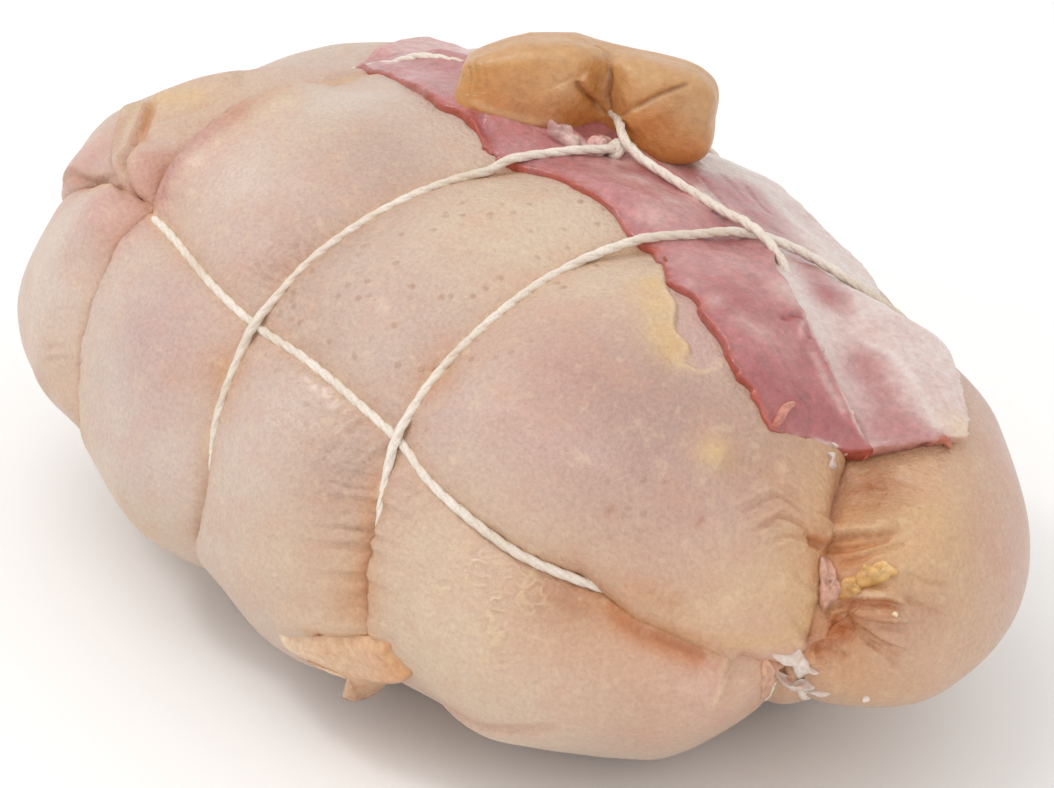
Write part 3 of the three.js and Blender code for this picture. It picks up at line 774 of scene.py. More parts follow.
# Tone, strength, reach in millimetres, and the places traced in the picture.
SKIN_PATCHES = [
    (CREAM, .5, 22, [(150, 500), (60, 420), (440, 640), (300, 560), (560, 700), (520, 240), (640, 300),
                     (760, 600)]),
    (CREAM, .45, 16, [(40, 300), (220, 180), (480, 210), (330, 100), (470, 560), (700, 610)]),
    (PALE, .5, 14, [(280, 90), (350, 90), (560, 480), (240, 180), (100, 330), (250, 430)]),
    (ROSE, .42, 14, [(560, 400), (620, 430), (660, 470), (590, 350), (700, 530)]),
    (ROSE, .30, 12, [(540, 330), (720, 440), (230, 360), (620, 660), (640, 730), (400, 300), (280, 250)]),
    (ROSE, .28, 13, [(160, 370), (150, 440), (330, 500), (560, 640), (340, 200), (760, 700)]),
    # Lilac; on the pad beside the cleft, partly its own bluish tone and partly a painted sheen.
    (LILAC, .5, 8, [(745, 505), (725, 475), (760, 470), (110, 212), (140, 330)]),
    (LILAC, .4, 14, [(120, 400), (640, 560), (420, 420), (180, 300)]),
    # Grey over muscle; at (400, 180) it also holds the string's painted shadow.
    (GREY, .5, 9, [(335, 240), (290, 275), (400, 180), (345, 480), (760, 440), (820, 470), (440, 350)]),
    (GREY, .35, 12, [(380, 150), (310, 330), (370, 420), (800, 450)]),
    (PINK, .6, 9, [(80, 155), (100, 150), (170, 170), (150, 200), (200, 140)]),
    # Small deep rose spots: painted shade along the big lobe's edge and at the far end.
    (ROSE, .6, 4.5, [(166, 166), (156, 190), (92, 160), (222, 116), (196, 132)]),
    (TAN, .6, 24, [(900, 560), (870, 640), (870, 480)]),
    (GOLD, .5, 11, [(850, 556), (880, 600), (860, 650), (866, 500)]),
    (GOLD, .6, 6, [(896, 598), (908, 600), (918, 616)]), (CREAM, .5, 4, [(838, 603)]),
    # Painted light that the white table throws up on the lower lobe.
    (CREAM, .45, 8, [(418, 656), (446, 684)]),
    (ROSE, .4, 13, [(604, 420), (660, 424)]), (ROSE, .5, 4.5, [(238, 120)]), (GOLD, .3, 4, [(240, 116)]),
    (BROWN, .35, 6, [(880, 484), (892, 500), (884, 600)]),
    (GREY, .55, 14, [(620, 440), (680, 430), (660, 380)]),
    (PALE, .6, 13, [(56, 240), (50, 300), (44, 360), (120, 440), (170, 470)]),
    (TAN, .4, 18, [(840, 660), (960, 430), (560, 590)]),
    (TAN, .35, 14, [(360, 580), (690, 700), (620, 620), (60, 390), (210, 95), (270, 95)]),
    (YELLOW, .35, 9, [(930, 520), (800, 620), (720, 620), (900, 560), (150, 108), (120, 540)]),
    (YELLOW, .75, 4.0, [(652, 285), (656, 305), (664, 330), (676, 352), (716, 452)]),
    # Orange beside the cleft and beside the creases of the loops: partly the flesh's orange and partly
    # painted shade.
    (ORANGE, .5, 5, [(835, 545), (842, 556), (838, 636), (856, 608), (822, 650), (850, 580)]),
    (ORANGE, .5, 5, [(368, 588), (352, 610), (340, 640), (437, 378), (226, 372)]),
    # Painted shade in pits and dimples beside the cleft.
    (BROWN, .5, 3, [(872, 485), (856, 604), (838, 628), (828, 552)]),
    (BROWN, .5, 1.0, [(611, 514), (703, 524), (868, 488), (880, 480)]),
    # Painted shade under the side crease's lip.
    (BROWN, .35, 5, [(570, 598), (590, 604), (556, 588)]),
    (PINK, .5, 8, [(100, 206), (118, 222), (70, 168), (146, 182)]),
    (PINK, .5, 12, [(990, 380), (1005, 460), (1015, 560), (960, 330), (730, 690), (750, 670)]),
    (LILAC, .2, 9, [(930, 600), (910, 650)]),
]
SKIN_STRIPES = [
    # Yellow along the pad's rim, with the rim's highlight painted in.
    (YELLOW, .5, 2.2, [(818, 590), (808, 618), (780, 640), (740, 640), (690, 626), (640, 608)]),
    # Dark lines and spots in the fan's furrows and pits: painted shade.
    (BROWN, .6, .35, [(824, 543), (838, 540), (856, 537), (866, 535)]),
    (BROWN, .4, .3, [(866, 536), (880, 535), (898, 532)]),
    (FURROW_SHADE, .6, .9, [(836, 602), (852, 600), (870, 600), (892, 603)]),
    (BROWN, .5, .3, [(847, 618), (866, 618), (899, 617)]),
    (BROWN, .5, .3, [(847, 620), (866, 631), (896, 648)]),
    (FURROW_SHADE, .5, 1.8, [(830, 626), (840, 625), (848, 624)]),
    (FURROW_SHADE, .7, 1.4, [(806, 652), (814, 652), (820, 650)]),
    # Pale lines on the fan's ridges: painted light.
    (PALE_RIM_AND_LIT_RIDGE, .6, 1.0, [(828, 600), (846, 596), (866, 595), (886, 597)]),
    (PALE_RIM_AND_LIT_RIDGE, .5, 1.0, [(828, 536), (850, 531), (880, 530)]),
    # Painted shade in the gather pit.
    (BROWN, .5, .8, [(804, 532), (811, 541), (820, 548)]),
    (ROSE, .3, 2.4, [(412, 690), (440, 706), (470, 719), (500, 727), (545, 731)]),
    # The side crease: its pale lip, partly painted light, the warm skin above it, and painted shadow under
    # the lip.
    (PALE_RIM_AND_LIT_RIDGE, .8, .9, [(603, 589), (631, 611), (671, 632), (707, 646), (740, 654)]),
    (GOLD, .5, 2.6, [(606, 584), (640, 596), (680, 608)]),
    (FURROW_SHADE, .7, 2.6, [(610, 612), (636, 630), (672, 646), (706, 659)]),
    (BROWN, .7, 1.0, [(606, 603), (634, 625), (672, 642), (704, 655)]),
    # The big lobe's edge: painted shade on the lobe behind it, and painted light along its lip.
    (ROSE, .4, 4.0, [(250, 98), (216, 116), (184, 138), (164, 164), (152, 190)]),
    (GOLD, .35, 3.0, [(290, 84), (256, 98), (222, 112)]),
    (CREAM, .5, 2.0, [(300, 98), (264, 114), (230, 134), (200, 156), (181, 180)]),
    (CREAM, .6, 1.6, [(140, 106), (131, 120), (127, 134), (125, 150), (126, 168), (128, 180)]),
    (PEACH, .7, 1.6, [(150, 102), (147, 113), (141, 130), (133, 148), (129, 164)]),
    # Painted shadow under the middle lobe's lower fold.
    (ORANGE, .5, 1.6, [(300, 630), (338, 637), (386, 642)]),
    (ORANGE, .7, .7, [(149, 104), (148, 114), (145, 124), (140, 134)]),
    (ORANGE, .3, .7, [(134, 104), (124, 118), (119, 132), (117, 150), (119, 168)]),
    (ORANGE, .4, 1.0, [(58, 187), (70, 181), (84, 178), (103, 182), (118, 178)]),
    (YELLOW, .5, 3.0, [(150, 104), (176, 98), (206, 96)]),
    (YELLOW, .5, 2.0, [(84, 190), (100, 186), (118, 186)]),
    (GREY, .6, .8, [(845, 466), (840, 490), (831, 510), (829, 528), (822, 548)]),
    # Painted pink shade below the big lobe's edge, at its lower end.
    (ROSE, .6, 1.6, [(186, 153), (170, 172), (162, 190), (158, 210)]),
    (ROSE, .5, 1.6, [(60, 188), (86, 178), (118, 179)]),
    # Painted shadow under the side crease's lip, wider and fainter.
    (ORANGE, .4, 2.0, [(600, 606), (650, 624), (700, 640), (760, 656)]),
    # Painted shade beside the middle loop's crease.
    (ORANGE, .35, 2.5, [(377, 470), (368, 530), (366, 590), (376, 640)]),
]
BARE_TONE = {"window": tint(216, 182, 174), "window foot": tint(216, 182, 174),
             "lobe end": tint(222, 184, 156)}
# Painted shade near creases and in the string's wrinkles, in the flesh's orange.
CREASE_SHADE = tint(208, 150, 102)
# Folds whose depth is painted as shade in their furrows and as light on their ridges.
DEEP_FOLDS = {"fan", "gather", "lower", "dimple"}
SKIN_DEPTH = 0.82             # raw flesh takes in some light, so its own colour is darker than it looks
CREASE_REACH = 2.6
LIP_PALENESS = 0.55           # of the thin edge of skin that rolls over a crease, paler of its own and with painted light on its rim
LIP_EDGE = 0.6
# Strength of the painted shade on the side that lies under a lip:
UNDER_STRENGTH = 0.95
# Soft spots where follicles show, and where the skin is wet: reach in millimetres, and the place.
FOLLICLED = [(26, (430, 270)), (22, (560, 210)), (20, (350, 330)), (16, (470, 300)), (14, (640, 480))]
WETTED = [(11, (565, 488)), (8, (600, 500)), (9, (235, 170)), (8, (480, 560)), (10, (330, 110)),
          (7, (700, 455)),
          (9, (910, 470)), (8, (900, 640)), (8, (120, 380)), (9, (300, 420)), (9, (560, 690))]

skin_tone = skin.paint(SKIN_BASE, SKIN_PATCHES, SKIN_STRIPES)
deep = skin.fold({name: FOLDS[name] for name in FOLDS if name.split()[0] in DEEP_FOLDS}, lines)
# Painted shade in furrows and below the pleats' edges, and on the side that lies under a lip.
furrow = np.clip(-deep / 2.0, 0, 0.7) + np.clip(-(folded - deep) / 8.0, 0, 0.2) + 0.25 * shadow
furrow = np.maximum(furrow, UNDER_STRENGTH * shade * np.clip(0.9 + 0.5 * lumps(skin.points, 4, 15), 0, 1))
# The thin lip over a crease is paler, partly of its own and partly as painted light on its rim.
lip = LIP_PALENESS * np.exp(-(((crease - LIP_EDGE) / LIP_EDGE) ** 2)) * (shade < OPEN_SHADE)
# Laid on in turn: painted shade in furrows; painted light on the ridges of deep folds; paler tops on the fat
# bumps; painted shade in the string's wrinkles and near every crease; the pale lip.
for share, tone in ((furrow, FURROW_SHADE), (np.clip(deep / 3, 0, 0.4), PALE_RIM_AND_LIT_RIDGE),
                    (0.7 * np.clip(fat_bumps * 2, 0, 1), PALE_RIM_AND_LIT_RIDGE), (0.5 * wrinkled, CREASE_SHADE),
                    (0.5 * np.exp(-crease / CREASE_REACH), CREASE_SHADE), (lip, PALE_RIM_AND_LIT_RIDGE)):
    skin_tone = toned(skin_tone, share, tone)
for name, line in edge_lines.items():
    near, distance, left, share = skin.beside(line, 14)
    taper = np.clip(np.minimum(share, 1 - share) * 6, 0, 1)
    bare = np.clip(left / 0.4, 0, 1) * np.clip((BARE_REACH[name] - distance) / 4, 0, 1) * taper
    skin_tone[near] = toned(skin_tone[near], 0.8 * bare, BARE_TONE[name])
    # A pale rim along the cut edge, partly the edge's own colour and partly painted light.
    rim = 0.9 * np.clip(1 - np.abs(left + 0.6) / 0.9, 0, 1) * np.exp(-distance / 3) * taper
    skin_tone[near] = toned(skin_tone[near], rim, PALE_RIM_AND_LIT_RIDGE)


def spotted(spots):
    """Share of each of the skin's points that soft spots cover."""
    return np.clip(sum(near_to(skin.points, skin.at([place]), reach) for reach, place in spots), 0, 1)

chicken = made_mesh("chicken_skin", skin.points, skin.triangles, {
    "tone": skin_tone * SKIN_DEPTH, "follicles": spotted(FOLLICLED), "wet": spotted(WETTED)})


def tree_node(tree, kind, inputs=None, **settings):
    """Node of this kind in a tree, with its settings, and values or links for its inputs."""
    made = tree.nodes.new(kind)
    for key, value in settings.items():
        setattr(made, key, value)
    for key, value in (inputs or {}).items():
        if isinstance(value, bpy.types.NodeSocket):
            tree.links.new(value, made.inputs[key])
        else:
            made.inputs[key].default_value = value
    return made


def mixed(tree, share, base, other, blend="MIX"):
    """Colour mixed from two, by a share."""
    mix = tree.nodes.new("ShaderNodeMix")
    mix.data_type = "RGBA"
    mix.blend_type = blend
    for socket, value in ((mix.inputs[0], share), (mix.inputs[6], base), (mix.inputs[7], other)):
        if isinstance(value, bpy.types.NodeSocket):
            tree.links.new(value, socket)
        elif socket.type == "RGBA":
            socket.default_value = (*value, 1)
        else:
            socket.default_value = value
    return mix.outputs[2]


def banded(tree, value, low, high, bottom=0.0, top=1.0):
    """Value spread between two limits."""
    return tree_node(tree, "ShaderNodeMapRange", {
        "Value": value, "From Min": low, "From Max": high, "To Min": bottom, "To Max": top,
    }).outputs[0]


def noise(tree, place, scale, detail, **more):
    """Soft noise over a place. More inputs go by the node's own names."""
    inputs = {"Vector": place, "Scale": scale, "Detail": detail, **more}
    return tree_node(tree, "ShaderNodeTexNoise", inputs).outputs[0]

def product(tree, first, second):
    return tree_node(tree, "ShaderNodeMath", {0: first, 1: second}, operation="MULTIPLY").outputs[0]

def bumped(tree, height, strength, depth, below=None):
    """Normal of a surface that a height raises, by a depth in millimetres, on top of the normal below it."""
    inputs = {"Height": height, "Strength": strength, "Distance": depth * MM}
    if below is not None:
        inputs["Normal"] = below
    return tree_node(tree, "ShaderNodeBump", inputs).outputs[0]

# Raw flesh is never of one colour: soft blotches of blood and fat lie under the surface, with a fine grain.
flesh_tree = bpy.data.node_groups.new("mottled_flesh", "ShaderNodeTree")
for label, kind, value in [("Vector", "NodeSocketVector", None), ("Tone", "NodeSocketColor", None),
                           ("Blotch tone", "NodeSocketColor", (0.9, 0.7, 0.68, 1)),
                           ("Blotch amount", "NodeSocketFloat", 0.5),
                           ("Blotch scale", "NodeSocketFloat", 45.0),
                           ("Grain amount", "NodeSocketFloat", 0.12),
                           ("Grain scale", "NodeSocketFloat", 700.0)]:
    socket = flesh_tree.interface.new_socket(label, in_out="INPUT", socket_type=kind)
    if value is not None:
        socket.default_value = value
for label, kind in (("Tone", "NodeSocketColor"), ("Height", "NodeSocketFloat"),
                    ("Wetness", "NodeSocketFloat")):
    flesh_tree.interface.new_socket(label, in_out="OUTPUT", socket_type=kind)
flesh_in = flesh_tree.nodes.new("NodeGroupInput").outputs
blotch = noise(flesh_tree, flesh_in["Vector"], flesh_in["Blotch scale"], 5.0, Roughness=0.6, Distortion=0.4)
blotch_share = product(flesh_tree, banded(flesh_tree, blotch, 0.42, 0.68), flesh_in["Blotch amount"])
blotched = mixed(flesh_tree, blotch_share, flesh_in["Tone"], flesh_in["Blotch tone"], "MULTIPLY")
grain = noise(flesh_tree, flesh_in["Vector"], flesh_in["Grain scale"], 3.0, Roughness=0.65)
grain_light = banded(flesh_tree, grain, 0.3, 0.7)
grained = mixed(flesh_tree, flesh_in["Grain amount"], blotched,
                tree_node(flesh_tree, "ShaderNodeCombineColor", {
                    0: grain_light, 1: grain_light, 2: grain_light}).outputs[0], "OVERLAY")
flesh_out = flesh_tree.nodes.new("NodeGroupOutput")
flesh_tree.links.new(grained, flesh_out.inputs["Tone"])
flesh_tree.links.new(grain, flesh_out.inputs["Height"])
wet_noise = noise(flesh_tree, flesh_in["Vector"], 90.0, 3.0)
flesh_tree.links.new(banded(flesh_tree, wet_noise, 0.35, 0.65), flesh_out.inputs["Wetness"])


def flesh_material(name, values, dry, wet, bump, subsurface=0.12, coat=0.2):
    """Material of moist flesh in the piece's tone, with its tree, shader, place, flesh node and normal."""
    finish = bpy.data.materials.new(name)
    finish.use_nodes = True
    tree = finish.node_tree
    shader = tree.nodes["Principled BSDF"]
    place = tree_node(tree, "ShaderNodeTexCoord").outputs["Object"]
    tone = tree_node(tree, "ShaderNodeAttribute", attribute_name="tone").outputs["Color"]
    flesh = tree.nodes.new("ShaderNodeGroup")
    flesh.node_tree = flesh_tree
    tree.links.new(place, flesh.inputs["Vector"])
    tree.links.new(tone, flesh.inputs["Tone"])
    for key, value in values.items():
        flesh.inputs[key].default_value = value
    tree.links.new(flesh.outputs["Tone"], shader.inputs["Base Color"])
    tree.links.new(banded(tree, flesh.outputs["Wetness"], 0, 1, dry, wet), shader.inputs["Roughness"])
    normal = bumped(tree, flesh.outputs["Height"], bump, 0.45)
    tree.links.new(normal, shader.inputs["Normal"])
    shader.inputs["Subsurface Weight"].default_value = subsurface
    shader.inputs["Subsurface Radius"].default_value = (1.0, 0.45, 0.3)
    shader.inputs["Subsurface Scale"].default_value = 1.6 * MM
    shader.inputs["Coat Weight"].default_value = coat
    shader.inputs["Coat Roughness"].default_value = 0.16
    return finish, tree, shader, place, flesh, normal


skin_finish, tree, shader, place, flesh, normal = flesh_material("moist_chicken_skin", {
    "Blotch tone": (0.91, 0.78, 0.76, 1), "Blotch amount": 0.45, "Blotch scale": 42.0, "Grain amount": 0.11,
    "Grain scale": 1100.0}, dry=0.52, wet=0.36, bump=0.8, coat=0.1)
follicle_cells = tree_node(tree, "ShaderNodeTexVoronoi", {"Vector": place, "Scale": 260.0,
                                                          "Randomness": 0.9})
dot = banded(tree, follicle_cells.outputs["Distance"], 0.22, 0.06)
here = tree_node(tree, "ShaderNodeAttribute", attribute_name="follicles").outputs["Fac"]
dot_share = product(tree, dot, here)
faint = product(tree, dot_share, 0.5)
fat_share = banded(tree, noise(tree, place, 300.0, 3.0, Roughness=0.6), 0.56, 0.7, 0.0, 0.24)
fat_flecks = mixed(tree, fat_share, flesh.outputs["Tone"], tint(226, 200, 164))
warm_share = banded(tree, noise(tree, place, 120.0, 4.0, Roughness=0.6), 0.5, 0.72, 0.0, 0.3)
warmed = mixed(tree, warm_share, fat_flecks, tint(204, 152, 128))
tree.links.new(mixed(tree, faint, warmed, tint(176, 124, 92)), shader.inputs["Base Color"])
wet_here = tree_node(tree, "ShaderNodeAttribute", attribute_name="wet").outputs["Fac"]
dryness = banded(tree, flesh.outputs["Wetness"], 0, 1, 0.52, 0.38)
roughness = tree_node(tree, "ShaderNodeMath", {0: dryness, 1: banded(tree, wet_here, 0, 1, 0.0, 0.2)},
                      operation="SUBTRACT").outputs[0]
tree.links.new(roughness, shader.inputs["Roughness"])
tree.links.new(banded(tree, wet_here, 0, 1, 0.1, 0.6), shader.inputs["Coat Weight"])
shader.inputs["Coat Roughness"].default_value = 0.24
creping = tree_node(tree, "ShaderNodeTexVoronoi", {"Vector": place, "Scale": 480.0},
                    feature="DISTANCE_TO_EDGE")
normal = bumped(tree, creping.outputs["Distance"], 0.5, 0.35, normal)
tree.links.new(bumped(tree, dot_share, 0.8, 0.35, normal), shader.inputs["Normal"])
chicken.data.materials.append(skin_finish)
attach(chicken, "root")
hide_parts("chicken_body")


# ---- The twine ----
# Undyed cotton of three twisted plies, tied three times round the roll and twice along it. It presses into
# the skin, passes over the bacon and pinches the folded rind, where it is drawn up in a knot.
TWINE_PLIES = 3
PLY_RADIUS = 0.72
PLY_OFFSET = 0.30             # of each ply from the middle of the twine
TWIST_LENGTH = 12
TWINE_STEP = 0.55
TWINE_LIFT = 0.15             # its centre above the bottom of the groove that it presses
TWINE_FLOOR = FLOOR + 1.2
CROSSING_RISE = 1.5           # where a loop passes over a lengthwise run
CROSSING_REACH = 4.5
TWINE_SMOOTHINGS = 6
KNOT_SHIFT = 0.2              # of the knot's one turn along the loop, from where it meets the top length
KNOT_RADIUS = 1.35
KNOT_SLANT = 0.25
KNOT_POINTS = 12


def twine_line(name):
    """Centre of one run of twine, which rises where it passes over another."""
    route = routes[name]
    lift = route.lift + TWINE_LIFT
    under = {"top length": ["near loop", "middle loop"]}.get(name, [])
    if name.endswith("loop"):
        under = ["side length"]
    for other in under:
        _, way = nearest(route.line, routes[other].line, closed=True)
        lift = lift + CROSSING_RISE * np.exp(-((way**2).sum(1) / CROSSING_REACH**2))
    centres = tied_skin(route.dirs, lift)[0]
    centres += envelope_normal(route.dirs) * swelling(centres)[:, None]
    centres[:, 2] = np.maximum(centres[:, 2], TWINE_FLOOR)
    for _ in range(TWINE_SMOOTHINGS):
        centres = (np.roll(centres, 1, 0) + 2 * centres + np.roll(centres, -1, 0)) / 4
    return centres


twine_centres = {name: twine_line(name) for name in routes}
twine_data = bpy.data.curves.new("twine_path", "CURVE")
twine_data.dimensions = "3D"
loop = twine_centres["middle loop"]
_, way = nearest(loop, twine_centres["top length"], closed=True)
knot_at = np.argmin((way**2).sum(1) - loop[:, 2])
ahead = unit(loop[[knot_at + 2]] - loop[[knot_at - 2]])[0]
across = unit(np.cross(ahead, [[0, 0, 1.0]]))[0]
turn = np.linspace(0, math.tau, KNOT_POINTS, endpoint=False)[:, None]
wrap = KNOT_RADIUS * (np.cos(turn) * across + np.sin(turn) * np.cross(across, ahead))
knot = loop[knot_at] + ahead * KNOT_SHIFT + wrap + KNOT_SLANT * np.sin(turn) * ahead
for centres in (*twine_centres.values(), knot):
    spline = twine_data.splines.new("POLY")
    spline.points.add(len(centres) - 1)
    spline.points.foreach_set("co", np.concatenate([placed(centres), np.ones((len(centres), 1))], 1).ravel())
    spline.use_cyclic_u = True
twine_path = bpy.data.objects.new("twine_path", twine_data)
bpy.context.collection.objects.link(twine_path)

cotton = bpy.data.materials.new("undyed_cotton_twine")
cotton.use_nodes = True

ply_tree = bpy.data.node_groups.new("plied_twine", "GeometryNodeTree")
ply_sockets = {}
for label, kind, value in [("Geometry", "NodeSocketGeometry", None), ("Plies", "NodeSocketInt", TWINE_PLIES),
                           ("Ply radius", "NodeSocketFloat", PLY_RADIUS * MM),
                           ("Ply offset", "NodeSocketFloat", PLY_OFFSET * MM),
                           ("Twist length", "NodeSocketFloat", TWIST_LENGTH * MM),
                           ("Step", "NodeSocketFloat", TWINE_STEP * MM),
                           ("Unevenness", "NodeSocketFloat", 0.12 * MM),
                           ("Seed", "NodeSocketFloat", 4.0)]:
    socket = ply_tree.interface.new_socket(label, in_out="INPUT", socket_type=kind)
    if value is not None:
        socket.default_value = value
    ply_sockets[label] = (socket.identifier, value)
ply_tree.interface.new_socket("Geometry", in_out="OUTPUT", socket_type="NodeSocketGeometry")


def ply_math(operation, *values):
    return tree_node(ply_tree, "ShaderNodeMath", dict(enumerate(values)), operation=operation).outputs[0]

def ply_vector(operation, *values, **more):
    inputs = {**dict(enumerate(values)), **more}
    return tree_node(ply_tree, "ShaderNodeVectorMath", inputs, operation=operation).outputs[0]


given = ply_tree.nodes.new("NodeGroupInput").outputs
even = tree_node(ply_tree, "GeometryNodeResampleCurve", {"Curve": given["Geometry"],
                                                         "Length": given["Step"]},
                 mode="LENGTH").outputs[0]
copies = tree_node(ply_tree, "GeometryNodeDuplicateElements",
                   {"Geometry": even, "Amount": given["Plies"]}, domain="SPLINE")
whole = tree_node(ply_tree, "GeometryNodeSplineLength").outputs["Length"]
share = tree_node(ply_tree, "GeometryNodeSplineParameter").outputs["Factor"]
turns = ply_math("ROUND", ply_math("DIVIDE", whole, given["Twist length"]))
phase = ply_math("DIVIDE", copies.outputs["Duplicate Index"], given["Plies"])
angle = ply_math("MULTIPLY", ply_math("ADD", ply_math("MULTIPLY", share, turns), phase), math.tau)
curve_normal = tree_node(ply_tree, "GeometryNodeInputNormal").outputs[0]
curve_tangent = tree_node(ply_tree, "GeometryNodeInputTangent").outputs[0]
curve_side = ply_vector("CROSS_PRODUCT", curve_tangent, curve_normal)
ways = []
for way, wave in ((curve_normal, "COSINE"), (curve_side, "SINE")):
    reach = ply_math("MULTIPLY", ply_math(wave, angle), given["Ply offset"])
    ways.append(ply_vector("SCALE", way, Scale=reach))
around = ply_vector("ADD", *ways)
wander = tree_node(ply_tree, "ShaderNodeTexNoise", {"W": given["Seed"], "Scale": 260.0, "Detail": 1.0},
                   noise_dimensions="4D").outputs["Color"]
centred = ply_vector("SUBTRACT", wander, (0.5, 0.5, 0.5))
uneven = ply_vector("SCALE", centred, Scale=given["Unevenness"])
offset = ply_vector("ADD", around, uneven)
laid = tree_node(ply_tree, "GeometryNodeSetPosition", {"Geometry": copies.outputs["Geometry"],
                                                       "Offset": offset})
ring = tree_node(ply_tree, "GeometryNodeCurvePrimitiveCircle",
                 {"Resolution": 6, "Radius": given["Ply radius"]})
plies = tree_node(ply_tree, "GeometryNodeCurveToMesh",
                  {"Curve": laid.outputs[0], "Profile Curve": ring.outputs[0]}).outputs[0]
smooth = tree_node(ply_tree, "GeometryNodeSetShadeSmooth", {"Geometry": plies}).outputs[0]
real = tree_node(ply_tree, "GeometryNodeRealizeInstances", {"Geometry": smooth}).outputs[0]
dressed = tree_node(ply_tree, "GeometryNodeSetMaterial", {"Geometry": real, "Material": cotton}).outputs[0]
ply_tree.links.new(dressed, ply_tree.nodes.new("NodeGroupOutput").inputs[0])


def made_by_nodes(name, source, tree, sockets):
    """Plain mesh object that a node tree makes of a source, with its inputs set. The source is removed."""
    modifier = source.modifiers.new(tree.name, "NODES")
    modifier.node_group = tree
    for identifier, value in sockets.values():
        if value is not None:
            modifier[identifier] = value
    depsgraph = bpy.context.evaluated_depsgraph_get()
    mesh = bpy.data.meshes.new_from_object(source.evaluated_get(depsgraph))
    mesh.name = name
    bpy.data.objects.remove(source)
    piece = bpy.data.objects.new(name, mesh)
    bpy.context.collection.objects.link(piece)
    return piece


twine = made_by_nodes("plied_twine", twine_path, ply_tree, ply_sockets)
cotton_shader = cotton.node_tree.nodes["Principled BSDF"]
cotton_shader.inputs["Roughness"].default_value = 0.8
tree = cotton.node_tree
place = tree_node(tree, "ShaderNodeTexCoord").outputs["Object"]
soaked = noise(tree, place, 55.0, 3.0)
lint = noise(tree, place, 1800.0, 3.0)
cotton_tone = mixed(tree, banded(tree, soaked, 0.4, 0.65), tint(236, 226, 214), tint(218, 202, 184))
cotton_tone = mixed(tree, banded(tree, lint, 0.35, 0.7, 0.0, 0.35), cotton_tone, tint(188, 168, 148))
tree.links.new(cotton_tone, cotton_shader.inputs["Base Color"])
tree.links.new(bumped(tree, lint, 0.8, 0.2), cotton_shader.inputs["Normal"])
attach(twine, "root")
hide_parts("twine")

# ---- The lean bacon slice ----
# A long slice of cured lean meat, about 3 mm thick, laid along the top under the loops. Its left edge is a
# fresh cut, its right edge laps over the streaky slice, and its near end is torn to a point at the cleft.
SLICE_THICKNESS = 2.6
SLICE_ROOT = 0.9              # how deep its underside lies in the skin
LAP_RISE = 1.7                # of an edge that laps over the next slice
LAP_REACH = 5
THIN_REACH = 12               # from the near end, over which a slice gets thinner
HOLLOW_REACH = 20             # and over which its torn end curves in
TUCK_THICKNESS = 0.8          # of an edge that lies under the next slice
LEAN_EDGES = (
    [(-70, 77), (-50, 83), (-38, 86.5), (-26, 89.5), (-18, 89.5), (-11, 91), (-5, 92.5), (2, 91.5),
     (10, 90.3), (20, 91), (28, 90.8), (35, 92), (41, 92), (47, 94.2), (52, 96.5), (58, 96), (64, 98),
     (69, 99), (75, 101), (81, 102), (87, 104)],
    [(-68, 69), (-50, 71), (-34, 71.5), (-17, 71), (2, 71), (23, 70.5), (36, 70.5), (44, 70.2), (51, 72),
     (57, 75.5), (64, 77.5), (73, 78.8), (80, 80), (86, 81.5), (92, 82.5), (98.5, 81)],
)


def edge_line(stations, count):
    """Even directions along a slice's edge."""
    stations = np.asarray(stations, float)
    fine = unit(smooth_line(direction(stations[:, 0], stations[:, 1]), 24))
    at = np.linspace(0, len(fine) - 1, count)
    return unit(np.stack([np.interp(at, np.arange(len(fine)), fine[:, k]) for k in range(3)], -1))


